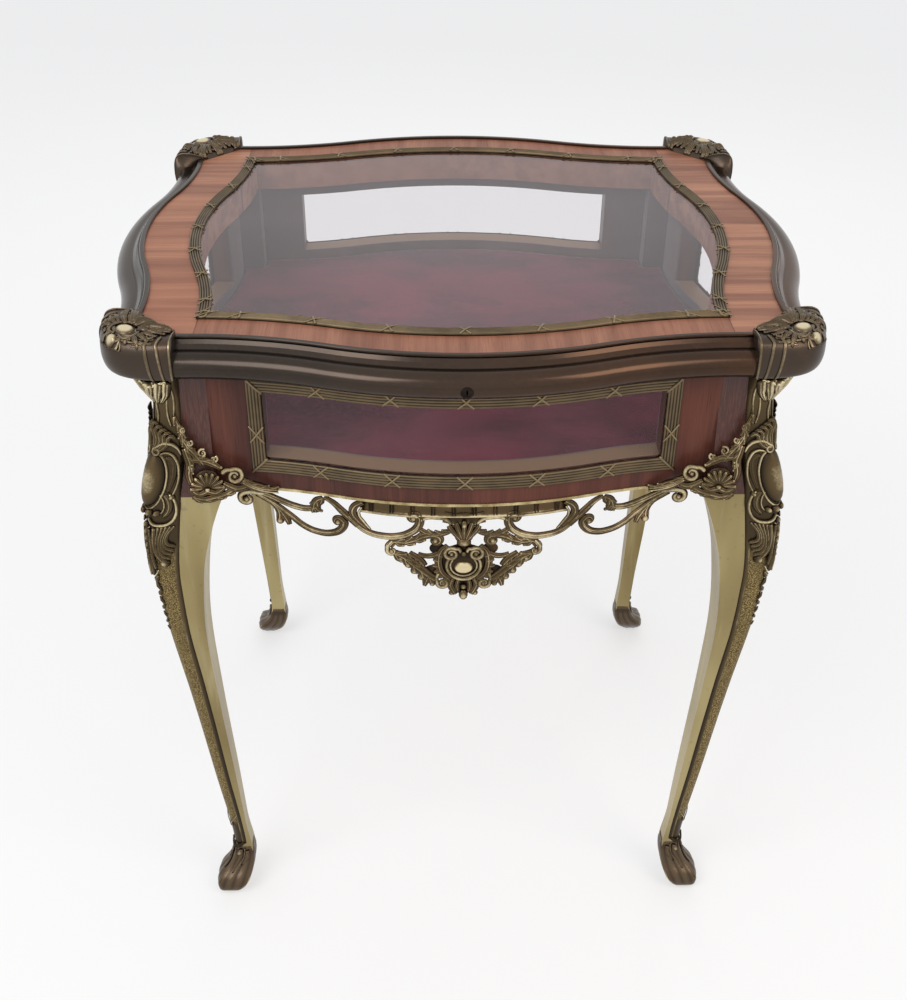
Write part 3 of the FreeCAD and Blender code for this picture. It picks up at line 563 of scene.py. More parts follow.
def liningCloth(name, look):
    # fine plain weave
    r = newRecipe(name)
    place = r.place()

    def thread(way, out):
        sockets = {"Vector": place, "Scale": look["threads"][way], "Distortion": 1.2, "Detail": 2.0}
        return r.add("ShaderNodeTexWave", {"wave_type": "BANDS", "bands_direction": way}, sockets, out)

    shade = r.noise(place, 12, 3, 0.6)
    colour = r.blend(shade.step(0.35, 0.7), look["dark"], look["light"])
    colour = r.blend(thread("Z", 0) * 0.30, colour, look["thread"])
    normal = r.bump(thread("DIAGONAL", 1), 0.0003, 0.5)
    return r.surface(colour, look["rough"], normal, {"Sheen Weight": 0.3})


finishes = {
    "cast": castBrass("castBrass", castLook),
    "cap": castBrass("capBronze", capFinish),
    "shoe": castBrass("shoeBronze", shoeFinish),
    "mount": mountBrass("mountBrass", mountFinish),
    "leg": legBrass("legBrass", legLook),
    "moulding": mouldingBronze("mouldingBronze", mouldingLook),
    "reeded": reededBrass("reededBrass", reededLook),
    "edge": plainBrass("edgeBrass", edgeLook),
    "keyhole": plainBrass("keyholeBronze", keyholeLook),
    "fitting": plainBrass("fittingBrass", fittingLook),
    "lidLong": veneer("lidVeneerAcross", lidLook),
    "lidSide": veneer("lidVeneerSide", lidSideLook),
    "apron": veneer("apronVeneer", apronLook),
    "board": veneer("boardWood", boardLook),
    "glass": clearGlass("lidGlass", lidGlassLook),
    "pane": clearGlass("windowGlass", windowGlassLook),
    "velvet": velvet("velvetPile", velvetLook),
    "lining": liningCloth("liningCloth", liningLook),
}
print("finishes ready:", len(finishes))

# how a node's name begins, and its finish; the first that fits is taken
nodeFinishes = {
    "leg_mount": "mount",
    "leg_": "leg",
    "apron_edge_bands": "edge",
    "apron_": "apron",
    "moulding_": "moulding",
    "lid_rail_front": "lidLong",
    "lid_rail_back": "lidLong",
    "lid_rail_": "lidSide",
    "window_glass": "pane",
    "window_trim": "reeded",
    "lid_glass": "glass",
    "lid_reed_frame": "reeded",
    "lock_barrel": "keyhole",
    "lock_cam": "keyhole",
    "lock_": "fitting",
    "hinge_": "fitting",
    "strike_": "fitting",
    "floor_board": "board",
    "wall_lining": "lining",
    "velvet_floor": "velvet",
    "": "cast",
}


def dress(name):
    # one material over the whole CAD node
    begin = next(begin for begin in nodeFinishes if name.startswith(begin))
    data = nodes[name].data
    data.materials.clear()
    data.materials.append(finishes[nodeFinishes[begin]])


for name in nodes:
    dress(name)
print("frame dressed:", len(nodes), "nodes")


# ornament kit: drawn flat in millimetres as (across, up, height), then laid on a surface
def topRound(x):
    return 0.70 * math.sqrt(max(1 - x * x, 0))


def topLeaf(x):
    return math.sqrt(max(1 - x * x, 0)) * (0.50 + 0.22 * math.cos(3 * math.pi * x))


def topStrap(x):
    return 0.20 + 0.30 * x ** 4 if abs(x) < 0.97 else 0.42


# name: (upper line, points across, depth of the underside)
sectionLooks = {
    "cord": (topRound, 9, 0.45),
    "leaf": (topLeaf, 15, 0.25),
    "strap": (topStrap, 11, 0.10),
}


def makeSection(name):
    # closed section of half-width 1: upper line from right to left, then a shallow underside
    top, count, depth = sectionLooks[name]
    points = []
    for i in range(count):
        x = math.cos(math.pi * i / (count - 1))
        points.append((x, top(x)))
    highest = max(y for x, y in points)
    # painted light: shades by height across the section, brightest on top and darkest on the underside
    shades = [max(y, 0) / highest for x, y in points]
    for x in (-0.6, 0.0, 0.6):
        points.append((x, -depth * (1 - 0.4 * x * x)))
        shades.append(0.0)
    data = bpy.data.curves.new(name + "Section", "CURVE")
    data.dimensions = "2D"
    spline = data.splines.new("POLY")
    spline.points.add(len(points) - 1)
    spline.use_cyclic_u = True
    for point, (x, y) in zip(spline.points, points):
        point.co = (x, y, 0, 1)
    return newObject(name + "Section", data), shades


sections = {name: makeSection(name) for name in sectionLooks}


def threeStep(values, t):
    # value along a strand from its start, middle and end
    if not isinstance(values, tuple):
        return values
    first, middle, last = values
    s = t * 2
    return first + (middle - first) * s if s < 1 else middle + (last - middle) * (s - 1)


def curl(u, v, radius, start, turns, shrink=0.35):
    # points of a volute from its outside inwards; start in degrees, negative turns go clockwise
    count = max(int(abs(turns) * 8), 4)
    points = []
    for i in range(count + 1):
        t = i / count
        r = radius * (1 - (1 - shrink) * t)
        angle = math.radians(start + 360 * turns * t)
        points.append((u + r * math.cos(angle), v + r * math.sin(angle)))
    return points


class Casting:
    def __init__(self, name, weight=1.0):
        self.name = name
        self.weight = weight
        self.mesh = bmesh.new()
        self.relief = self.mesh.verts.layers.float.new("relief")
        self.panel = self.mesh.verts.layers.float.new("panel")
        self.lines = {}

    def strand(self, section, points, width, lift=0.0, closed=False, shine=1.0):
        self.lines.setdefault((section, shine), []).append((points, width, lift, closed))

    def cast(self):
        # turns the strands drawn so far into mesh
        for (section, shine), lines in self.lines.items():
            holder, shades = sections[section]
            data = bpy.data.curves.new(self.name, "CURVE")
            data.dimensions = "3D"
            data.twist_mode = "Z_UP"
            data.resolution_u = 4
            data.bevel_mode = "OBJECT"
            data.bevel_object = holder
            data.use_fill_caps = True
            for points, width, lift, closed in lines:
                spline = data.splines.new("BEZIER")
                spline.bezier_points.add(len(points) - 1)
                spline.use_cyclic_u = closed
                for i, point in enumerate(points):
                    t = i / max(len(points) - 1, 1)
                    knot = spline.bezier_points[i]
                    height = point[2] if len(point) > 2 else 0.0
                    knot.co = (point[0], point[1], height + threeStep(lift, t))
                    knot.radius = threeStep(width, t) / 2 * self.weight
                    knot.handle_left_type = "AUTO"
                    knot.handle_right_type = "AUTO"
            obj = newObject(self.name, data)
            graph = bpy.context.evaluated_depsgraph_get()
            made = bpy.data.meshes.new_from_object(obj.evaluated_get(graph))
            layer = made.attributes.new("relief", "FLOAT", "POINT")
            for i, spot in enumerate(layer.data):
                # shine scales the painted light of the section: above 1 a stronger painted highlight,
                # near 0 painted shade
                spot.value = shades[i % len(shades)] * shine
            self.mesh.from_mesh(made)
            bpy.data.objects.remove(obj)
            bpy.data.meshes.remove(made)
        self.lines = {}

    def dome(self, u, v, radii, lift=0.0, turn=0.0, shine=1.0, fine=False):
        # bead, bud or cabochon: a ball squeezed to three radii
        place = Matrix.Translation((u, v, lift)) @ Matrix.Rotation(math.radians(turn), 4, "Z")
        ball = {"radius": 1, "matrix": place @ Matrix.Diagonal((*radii, 1))}
        if fine:
            made = bmesh.ops.create_uvsphere(self.mesh, u_segments=24, v_segments=14, **ball)
        else:
            made = bmesh.ops.create_icosphere(self.mesh, subdivisions=2, **ball)
        for vert in made["verts"]:
            # painted highlight: a dome's top is lighter than its sides, scaled by shine
            vert[self.relief] = max(0.0, (vert.co.z - lift) / radii[2]) * shine

    def bead(self, u, v, radius, lift=0.0):
        self.dome(u, v, (radius, radius, radius * 0.8), lift)

    def fan(self, u, v, reach, angles, count, width, lift, root):
        # flutes of a shell or palmette spread between two angles
        first, last = angles
        for i in range(count):
            angle = math.radians(first + (last - first) * i / (count - 1))
            c, s = math.cos(angle), math.sin(angle)
            points = [(u + c * reach * t, v + s * reach * t) for t in (root, 0.55, 0.9, 1.0)]
            self.strand("leaf", points, (width * 0.4, width, width * 0.7), lift)

    def mirror(self):
        # the other half, reflected across the middle
        self.cast()
        whole = self.mesh.verts[:] + self.mesh.edges[:] + self.mesh.faces[:]
        made = bmesh.ops.duplicate(self.mesh, geom=whole)["geom"]
        for vert in made:
            if isinstance(vert, bmesh.types.BMVert):
                vert.co.x = -vert.co.x
        faces = [face for face in made if isinstance(face, bmesh.types.BMFace)]
        bmesh.ops.reverse_faces(self.mesh, faces=faces)

    def layInto(self, into, place):
        # a copy of this flat drawing, laid on a surface and added to another casting
        self.cast()
        data = bpy.data.meshes.new(self.name)
        self.mesh.to_mesh(data)
        for vertex in data.vertices:
            vertex.co = place(*vertex.co)
        into.mesh.from_mesh(data)
        bpy.data.meshes.remove(data)

    def fillRims(self, sides):
        # open edges closed with one face each, up to a number of sides
        merge(self.mesh)
        rims = [edge for edge in self.mesh.edges if edge.is_boundary]
        bmesh.ops.holes_fill(self.mesh, edges=rims, sides=sides)

    def finish(self, body, slot, finish, replaces):
        self.cast()
        merge(self.mesh)
        bmesh.ops.recalc_face_normals(self.mesh, faces=self.mesh.faces[:])
        data = newMesh(self.name, self.mesh)
        for polygon in data.polygons:
            polygon.use_smooth = True
        obj = newObject(self.name, data)
        data.materials.append(finishes[finish])
        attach(obj, body)
        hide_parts(*replaces)
        print(self.name, len(data.polygons), "faces")


def sheet(mesh, columns, rows):
    # flat grid with both coordinates from 0 to 1; returns its vertices
    made = bmesh.ops.create_grid(mesh, x_segments=columns, y_segments=rows, size=0.5)
    for vert in made["verts"]:
        vert.co.x += 0.5
        vert.co.y += 0.5
    return made["verts"]


def giveBack(casting, outward, thickness):
    # the sheets laid so far are turned outwards and become a closed plate
    mesh = casting.mesh
    merge(mesh)
    bmesh.ops.recalc_face_normals(mesh, faces=mesh.faces[:])
    facing = sum((face.normal * face.calc_area() for face in mesh.faces), Vector()).dot(outward)
    if facing < 0:
        bmesh.ops.reverse_faces(mesh, faces=mesh.faces[:])
    bmesh.ops.solidify(mesh, geom=mesh.faces[:], thickness=thickness)


# surfaces that the ornament lies on; they take millimetres and give metres
def turnedTo(side, x, out, z):
    angle = math.radians(sideTurns[side])
    c, s = math.cos(angle), math.sin(angle)
    return Vector((x * c + out * s, x * s - out * c, z)) * mm


def onSide(side, stand=0.0):
    # across the front of an apron, up from the floor, out from the case's outline
    bow = plan["caseFront" if lengthwise(side) else "caseSide"]

    def place(u, v, h):
        slope = bowOut(bow, u + 0.5) - bowOut(bow, u - 0.5)
        share = 1 / math.hypot(1, slope)
        reach = h + stand
        return turnedTo(side, u - slope * share * reach, bowOut(bow, u) + share * reach, v)
    return place


def onReed(side):
    # along a side of the lid (-1 to 1 between mitres), in from the frame's outline, up from the lid
    front, across = plan["reedFront"], plan["reedSide"]

    def place(t, inward, h):
        cornerX, cornerY = curveCorner(front, across, -inward)
        bow, end = (front, cornerX) if lengthwise(side) else (across, cornerY)
        u = t * end
        return turnedTo(side, u, bowOut(bow, u, -inward), topHeight + h)
    return place


def solidOf(name):
    # ray target of a CAD node
    mesh = copyOf(name)
    tree = BVHTree.FromBMesh(mesh)
    mesh.free()
    return tree


# reeded strips with crossed ribbons, round the lid glass and the windows
reedLook = {"reeds": 5, "facets": 6, "base": 1.6, "rim": 14, "ribbon": 2.2, "shine": 1.25, "back": 0.0006}


def reedStrip(casting, place, rows, look):
    # one strip between two mitres, laid by place(along from -1 to 1, across in mm, height)
    for vert in sheet(casting.mesh, rows, reedLook["reeds"] * reedLook["facets"]):
        along, share = vert.co.x, vert.co.y
        # rounded reeds between narrow grooves, falling to the edges
        wave = abs(math.sin(math.pi * reedLook["reeds"] * share))
        rim = min(min(share, 1 - share) * reedLook["rim"], 1)
        height = reedLook["base"] * rim + (look["top"] - reedLook["base"]) * wave ** 0.6 * rim
        # painted light: reed tops lighter, grooves darker
        vert[casting.relief] = 0.25 + 0.55 * wave
        vert.co = place(along * 2 - 1, share * look["width"], height)


def ribbon(casting, points, lift):
    # ribbons get a raised shine, a brighter painted highlight
    casting.strand("cord", points, reedLook["ribbon"], lift, shine=reedLook["shine"])


def ribbonCross(casting, u, v, half, reach, lift):
    # two ribbons crossed over the reeds
    for way, bow in ((-1, 0.2), (1, 0.7)):
        points = [(u + reach * way * t, v + half * t) for t in (-1, -0.45, 0, 0.45, 1)]
        ribbon(casting, points, (lift - 0.5, lift + bow, lift - 0.5))


lidFrameLook = {
    "width": 12.0,
    "top": 3.2,
    "rows": 72,
    "crosses": 7,
    "crossReach": 5.0,
    "mitreReach": 4.5,
    "ribbonLift": 3.1,
}


def makeLidFrame(look):
    casting = Casting("lidReedFrame")
    width, lift = look["width"], look["ribbonLift"]
    for side in sideTurns:
        reedStrip(casting, onReed(side), look["rows"], look)
    giveBack(casting, Vector((0, 0, 1)), reedLook["back"])
    for side in sideTurns:
        place = onReed(side)
        corner = curveCorner(plan["reedFront"], plan["reedSide"], -width / 2)
        reach = corner[0] if lengthwise(side) else corner[1]
        ribbons = Casting("lidRibbons")
        for i in range(look["crosses"]):
            u = (2 * (i + 0.5) / look["crosses"] - 1) * reach
            ribbonCross(ribbons, u, width / 2, width / 2 + 0.4, look["crossReach"], lift)
        for end in (-1, 1):
            ribbonCross(ribbons, end * (reach - 4), width / 2, width / 2 + 0.4, look["mitreReach"], lift)
        ribbons.layInto(casting, lambda u, v, h: place(u / reach, v, h))
        ribbons.mesh.free()
    casting.finish("lid", "reeded_brass", "reeded", ["lid_reed_frame"])


windowTrimLook = {
    "width": 15.0,
    "top": 2.4,
    "rows": 60,
    "uprightRows": 12,
    "crosses": 5,
    "crossReach": 7.5,
    "uprightCross": ((-7, -9), (-3, -4), (3, 4), (7, 9)),
    "mitreCord": 3.0,
}


def makeWindowTrim(side, look):
    casting = Casting("windowTrim_" + side)
    low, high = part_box("window_trim_" + side)
    width, lift = look["width"], look["top"]
    half = (high.x if lengthwise(side) else high.y) * 1000 - width
    middle = (low.z + high.z) * 500
    rise = (high.z - low.z) * 500 - width
    place = onSide(side)

    def level(way):
        def where(t, inward, h):
            return place(way * t * (half + width - inward), middle + way * (rise + width - inward), h)
        return where

    def upright(way):
        def where(t, inward, h):
            return place(way * (half + width - inward), middle - t * way * (rise + width - inward), h)
        return where

    for way in (1, -1):
        reedStrip(casting, level(way), look["rows"], look)
        reedStrip(casting, upright(way), look["uprightRows"], look)
    giveBack(casting, turnedTo(side, 0, 1, 0), reedLook["back"])
    ribbons = Casting("trimRibbons")
    pitch = 2 * (half + width / 2) / (look["crosses"] + 0.75)
    for way in (-1, 1):
        for i in range(look["crosses"]):
            u = (i - (look["crosses"] - 1) / 2) * pitch
            v = middle + way * (rise + width / 2)
            ribbonCross(ribbons, u, v, width / 2 - 0.5, look["crossReach"], lift)
        u = way * (half + width / 2)
        v = middle - rise * 0.25
        for turn in (-1, 1):
            points = [(u + across, v + up * turn) for across, up in look["uprightCross"]]
            ribbon(ribbons, points, (lift - 0.4, lift + 0.3 + 0.3 * turn, lift - 0.4))
            # cord over the mitre
            inner = (way * (half - 1), middle + turn * (rise - 1))
            outer = (way * (half + width), middle + turn * (rise + width))
            halfway = ((inner[0] + outer[0]) / 2, (inner[1] + outer[1]) / 2)
            points = [inner, halfway, outer]
            ribbons.strand("cord", points, look["mitreCord"], (lift - 1, lift + 0.3, lift - 1))
    ribbons.layInto(casting, place)
    ribbons.mesh.free()
    casting.finish("case", "reeded_brass", "reeded", ["window_trim_" + side])


makeLidFrame(lidFrameLook)
for side in sideTurns:
    makeWindowTrim(side, windowTrimLook)
print("reeded strips laid")



# pierced galleries under the aprons, drawn from the middle to the right and mirrored
galleryLook = {
    "stand": -3.4,
    "top": 600.0,
    "sideShare": 0.86,
    "band": (101.0, 14.0),
    "slotPitch": 20.0,
    "cabochonDrop": 72.0,
    "ring": 16.8,
    "weight": 1.35,
}


def scroll(casting, points, width, lift=0.0, ribs=2):
    # a scrolled stem: a leaf section with fine ribs riding on it
    casting.strand("leaf", points, width, lift)
    for i in range(ribs):
        shift = (i - (ribs - 1) / 2) * 1.5
        ridge = [(u, v + shift, 0.9) for u, v in points]
        casting.strand("cord", ridge, (1.2, 2.2, 1.0), lift)


def leafLobes(casting, points, reach, width, way, lift=0.6):
    # short leaf lobes springing from one side of a line
    for (u0, v0), (u1, v1) in zip(points, points[1:]):
        du, dv = u1 - u0, v1 - v0
        size = math.hypot(du, dv)
        nu, nv = -dv / size * way, du / size * way
        lobe = [(u0, v0), (u0 + du * 0.5 + nu * reach * 0.6, v0 + dv * 0.5 + nv * reach * 0.6),
                (u0 + du * 0.9 + nu * reach, v0 + dv * 0.9 + nv * reach)]
        casting.strand("leaf", lobe, (width * 0.7, width, width * 0.6), (lift, lift + 1.2, lift))
        casting.bead(u0 + du * 0.9 + nu * reach, v0 + dv * 0.9 + nv * reach, width * 0.42, lift)


def drawGallery(look):
    # right half, drops written as negative heights below the apron
    g = Casting("galleryDrawing", look["weight"])
    drop, ring = look["cabochonDrop"], look["ring"]
    # outer volute and the ribbed leaf that leaves it
    g.strand("cord", [(194, -7), (204, -6)] + curl(212, -14, 7.5, 95, -0.95), (5, 5, 3.5), 0.5)
    g.bead(212, -14, 3.6, 1.0)
    upperLeaf = [(207, -5), (194, -7), (178, -14), (164, -19), (152, -20), (144, -17)]
    scroll(g, upperLeaf, (4, 6.0, 5), 0.8, 3)
    knot = [(137, -5), (143, -9), (146, -16), (144, -23)]
    g.strand("leaf", knot, (4, 7, 4), 1.0)
    leafLobes(g, knot, 5.0, 4.4, -1, 0.8)
    leafLobes(g, knot[1:], 4.0, 3.6, 1, 0.8)
    scroll(g, [(198, -8), (187, -17), (181, -27), (181, -36)], (4, 6.5, 6), 0.2, 2)
    g.bead(181, -38, 4.2, 0.4)
    g.strand("leaf", [(184, -20), (176, -31), (172, -42)], (5, 7, 4), 0.2)
    # long stem that runs down and curls up again
    stem = [(202, -8), (186, -18), (170, -31), (157, -42), (143, -47), (130, -46), (121, -40), (117, -31)]
    g.strand("leaf", stem + curl(123, -31, 5.5, 170, -0.8), (5, 6.4, 3.0), 0.4)
    g.strand("cord", [(u, v + 1.6, 1.6) for u, v in stem], (1.0, 1.8, 1.0), 0.4)
    g.bead(123, -31, 3.4, 1.0)
    # bar from the lip of that curl to the case, and the leaf at the end of the band
    g.strand("leaf", [(136, -4), (127, -9), (119, -17), (111, -24), (103, -31)], (4, 6.4, 7), 0.6)
    g.strand("cord", [(134, -6, 1.4), (124, -12, 1.4), (115, -20, 1.4)], (1.0, 1.8, 1.0), 0.6)
    g.strand("leaf", [(98, -3), (106, -9), (108, -17), (103, -25), (95, -33)], (5, 6.5, 4), 1.2)
    g.strand("cord", [(99, -9), (102, -17), (97, -26), (91, -34)], (1.6, 2.6, 1.6), 1.8)
    # second scroll: bar, hollow and the volute under the band
    sweep = [(112, -23), (104, -31), (94, -38), (80, -41), (65, -40), (53, -35), (45, -27), (43, -19)]
    g.strand("leaf", sweep + curl(49, -17, 5.5, 150, -0.85), (5, 7.0, 3.6), 0.5)
    for shift, height in ((1.6, 1.8), (-1.8, 1.2)):
        g.strand("cord", [(u, v + shift, height) for u, v in sweep], (1.0, 1.8, 1.0), 0.5)
    g.bead(49, -17, 3.4, 1.0)
    # slotted band, given a raised shine as a painted highlight; the slots are dark cords without shine,
    # painted shade
    half, depth = look["band"]
    pitch = look["slotPitch"]
    middle = [(0, -depth / 2), (half * 0.5, -depth / 2), (half, -depth / 2)]
    g.strand("strap", middle, depth / look["weight"], -0.5, shine=1.3)
    for i in range(int(half / pitch)):
        for k in (-1.4, 1.4):
            u = (i + 0.5) * pitch + k
            g.strand("cord", [(u, -2.5), (u, -depth / 2), (u, -depth + 2.5)], 1.1, 2.6, shine=0.0)
    g.strand("cord", [(half, -depth + 1), (half * 0.7, -depth), (60, -depth), (44, -depth - 1)], 2.6, 1.5)
    # web that carries the palmette, its arch and the scrolled leaf under the arch
    g.strand("strap", [(0, -15), (9, -16), (20, -14)], 9, -0.6, shine=0.8)
    g.strand("cord", [(43, -20), (37, -16), (27, -15), (18, -17), (12, -23)], (3.0, 3.8, 3.0), 0.8)
    arch = [(10, -24), (13, -30), (20, -34), (28, -35), (36, -34), (43, -30)]
    g.strand("leaf", arch, (3.4, 5, 4.4), 0.6)
    leafLobes(g, arch[1:5], 3.6, 3.4, 1, 0.6)
    g.strand("cord", curl(14, -29, 3.6, 60, 0.9), (2.4, 2.4, 1.6), 1.4)
    # leafy arm from the tip to its volute beside the palmette
    arm = [(73, -52), (68, -46), (59, -46), (49, -43), (40, -38), (32, -36)]
    scroll(g, arm + curl(28, -42, 6.2, 75, 0.9), (6, 6.6, 3), 0.8, 1)
    g.bead(28, -42, 3.4, 1.2)
    leafLobes(g, arm[1:5], 4.6, 4.6, 1)
    leafLobes(g, arm[1:5], 3.6, 4.0, -1)
    g.strand("leaf", [(54, -42), (63, -43), (71, -44)], (5, 6, 3), 0.2)
    g.strand("cord", [(70, -46), (75, -52)] + curl(71, -58, 4.8, 30, -0.8), (4, 4, 3), 0.8)
    g.bead(71, -58, 3.0, 1.4)
    # leafy arm from the tip down to the bud
    lower = [(68, -60), (58, -65), (50, -72), (42, -79), (34, -86), (27, -91)]
    scroll(g, lower, (6, 9.5, 7), 0.8, 1)
    leafLobes(g, lower, 5.6, 6.0, 1)
    leafLobes(g, lower[:4], 4.4, 5.0, -1)
    g.strand("leaf", [(34, -85), (37, -92), (39, -99)], (5, 6.5, 3), 0.8)
    for u, v, size in ((62, -66, 3.2), (55, -73, 3.6), (49, -80, 4.0), (42, -87, 4.0), (31, -95, 3.2)):
        g.bead(u, v, size, 1.6)
    web = [(54, -60), (48, -64), (43, -68), (39, -74)]
    g.strand("leaf", web, (6, 7, 6), 0.2)
    leafLobes(g, web, 3.6, 3.6, 1, 0.4)
    g.strand("leaf", [(45, -60), (38, -62), (30, -61), (25, -58)], (4, 5, 5), 0.4)
    # painted shade: low domes with little shine darken the grounds between the arms and the crescent
    grounds = ((26, -53, 8, 7), (29, -82, 11, 9), (46, -68, 6, 5), (0, -98, 14, 11), (0, -34, 10, 13))
    for u, v, across, up in grounds:
        g.dome(u, v, (across, up, 1.2), -0.4, shine=0.12, fine=True)
    # crescent beside the ring, with short flutes outside it
    crescent = [(16, -48), (22, -54), (24.5, -63), (24.5, -72), (21, -82), (13, -90)]
    scroll(g, crescent, (4, 6.4, 6), 1.0, 1)
    for i in range(7):
        angle = math.radians(-62 + 15 * i)
        c, s = math.cos(angle), math.sin(angle)
        points = [(c * r, -drop + s * r * 0.95) for r in (23, 27, 31)]
        g.strand("leaf", points, (3, 4.2, 2.4), (0.8, 1.8, 1.0))
    # volutes over the cabochon
    g.strand("cord", [(3, -55), (5, -51)] + curl(12, -57, 7.8, 130, -1.35), (3, 3.8, 2.2), 2.6)
    g.bead(12, -57, 2.6, 3.0)
    # curl at the foot of the crescent and the skirt of the bud
    g.strand("cord", [(25, -82), (27, -89)] + curl(20.5, -94, 6.0, 15, -1.1), (3.4, 3.8, 2.4), 1.6)
    g.bead(20, -94, 2.6, 2.0)
    g.strand("leaf", [(11, -88), (13, -96), (10, -104), (8, -108)], (5, 6, 4), 1.0)
    g.strand("leaf", [(5, -89), (6.5, -97), (5, -105)], (3.4, 4.4, 3), 1.4)
    g.bead(12, -107, 2.8, 0.8)
    g.mirror()
    # middle: palmette, bead, ring, cabochon, bud
    g.fan(0, -46, 27, (56, 124), 5, 5.0, (1.2, 3.2, 2.2), 0.1)
    g.dome(0, -22, (3.4, 5.4, 3.2), 2.2)
    g.dome(0, -44, (7.4, 5.0, 3.0), 1.8)
    g.dome(0, -56.5, (2.8, 2.8, 2.8), 3.0)
    turns = [math.radians(a) for a in range(-214, 40, 23)]
    arc = [(ring * math.cos(a), -drop + ring * math.sin(a)) for a in turns]
    g.strand("cord", arc, (3.0, 3.4, 3.0), 1.8)
    inner = [(u * 0.78, (v + drop) * 0.74 - drop) for u, v in arc]
    g.strand("cord", inner, 2.0, 1.8)
    # low domes with little shine behind the ring are painted shade; the cabochon's high shine is a
    # painted highlight
    g.dome(0, -drop + 2, (25.0, 24.0, 1.4), 0.0, shine=0.15, fine=True)
    g.dome(0, -drop, (15.0, 14.0, 2.0), 0.2, shine=0.35, fine=True)
    g.dome(0, -drop - 2, (10.2, 7.8, 4.8), 1.0, shine=1.6, fine=True)
    g.dome(0, -97.5, (3.2, 3.0, 3.2), 2.4)
    g.dome(0, -108, (4.8, 6.6, 4.2), 1.6)
    g.cast()
    return g


def makeGalleries(look):
    drawing = drawGallery(look)
    for side in sideTurns:
        casting = Casting("galleryCasting_" + side)
        share = 1.0 if lengthwise(side) else look["sideShare"]
        place = onSide(side, look["stand"])
        drawing.layInto(casting, lambda u, v, h: place(u * share, look["top"] + v, h))
        casting.finish("case", "cast_brass", "cast", ["gallery_" + side])
    drawing.mesh.free()


makeGalleries(galleryLook)
print("galleries cast")


# bracket mounts between leg and apron; edge is how far the post stands from the middle, spots are
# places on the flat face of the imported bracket
bracketLook = {
    "base": 603.0,
    "edge": {"front": 239.0, "back": 239.0, "left": 205.0, "right": 205.0},
    "spots": ((-8.0, 8.0), (-25.0, 60.0), (44.0, 1.0), (18.0, 13.0), (-6.0, 20.0)),
    "sunk": 1.6,
    "shell": 8.0,
    "shellReach": 15.0,
    "flutes": 9,
    "weight": 1.25,
}


def drawBracket(look):
    # distance in from the edge of the post, height over the foot of the apron
    b = Casting("bracketDrawing", look["weight"])
    tendril = [(-31, 82), (-28, 74), (-25, 67), (-25, 60), (-22, 53), (-17, 46), (-12, 39), (-8, 33)]
    b.strand("leaf", tendril, (3.5, 6, 7), 0.4)
    leafLobes(b, tendril[:6], 3.2, 3.4, -1, 0.4)
    leafLobes(b, tendril[1:7], 3.0, 3.2, 1, 0.4)
    curls = ((-24, 68, 2.6, 1), (-19, 55, 3.0, -1), (-8, 44, 4.4, 1), (2, 37, 3.6, -1), (-19, 30, 3.2, 1))
    for u, v, size, way in curls:
        b.strand("cord", curl(u, v, size, 60, 1.1 * way), (2.4, 2.2, 1.4), 1.4)
        b.bead(u, v, 1.6, 1.8)
    fall = [(-24, 50), (-22, 42), (-20, 34), (-22, 24), (-20, 13)]
    b.strand("leaf", fall, (5, 8, 5), 0.4)
    leafLobes(b, fall[:4], 3.6, 3.6, 1, 0.4)
    b.strand("leaf", [(-18, 38), (-9, 37), (0, 33), (8, 27)], (5, 8, 4), 0.8)
    leafLobes(b, [(-14, 38), (-6, 37), (2, 32)], 3.4, 3.6, 1, 0.8)
    b.bead(8, 28, 2.2, 1.2)
    # shell
    low, reach, flutes = look["shell"], look["shellReach"], look["flutes"]
    b.dome(-6, low + 7, (reach * 0.82, reach * 0.78, 2.6), 0.0, shine=0.5, fine=True)
    b.fan(-6, low, reach, (4, 176), flutes, 4.4, (0.8, 3.4, 2.4), 0.2)
    for i in range(flutes):
        angle = math.radians(4 + 172 * i / (flutes - 1))
        b.bead(-6 + reach * math.cos(angle), low + reach * math.sin(angle), 2.0, 2.2)
    lip = [(-22, low + 1), (-14, low - 5), (-6, low - 3), (2, low - 5), (10, low)]
    b.strand("leaf", lip, (4, 6, 4), 1.6)
    b.dome(-6, low - 1, (3.6, 3.0, 3.2), 2.2)
    # scroll, pierced eye and leaf tail
    b.strand("cord", [(8, 22), (13, 25)] + curl(20, 18, 8.0, 120, -1.3), (4, 4, 2.2), 1.4)
    b.bead(20, 18, 2.6, 1.6)
    b.strand("leaf", [(9, 12), (15, 8), (22, 5), (31, 6)], (5, 7, 5), 1.0)
    tail = [(27, 13), (34, 8), (42, 4), (51, 1), (60, -1)]
    b.strand("leaf", tail, (6, 9, 3), 0.8)
    leafLobes(b, tail, 3.4, 3.6, 1, 0.6)
    b.strand("cord", [(u, v - 2, 1.6) for u, v in tail], (1.4, 2.0, 1.0), 1.0)
    # bracket leaf that turns under the apron
    under = [(-20, low - 7), (-10, low - 11), (0, low - 10), (10, low - 8), (18, low - 4)]
    b.strand("leaf", under, (5, 7, 5), 0.6)
    leafLobes(b, under, 3.4, 4.0, -1, 0.4)
    b.bead(20, low - 3, 2.8, 0.8)
    b.cast()
    return b


def bracketPlane(side, way, outward, look):
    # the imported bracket's face is one slanted plane, found by the first three rays that meet it
    target = solidOf("spandrel_mounts_" + side)
    spots = []
    for u, v in look["spots"]:
        start = turnedTo(side, way * (look["edge"][side] - u), 500.0, look["base"] + v)
        hit = target.ray_cast(start, -outward)[0]
        if hit is not None:
            spots.append(hit)
    origin = spots[0]
    normal = (spots[1] - origin).cross(spots[2] - origin).normalized()
    return origin, normal if normal.dot(outward) > 0 else -normal


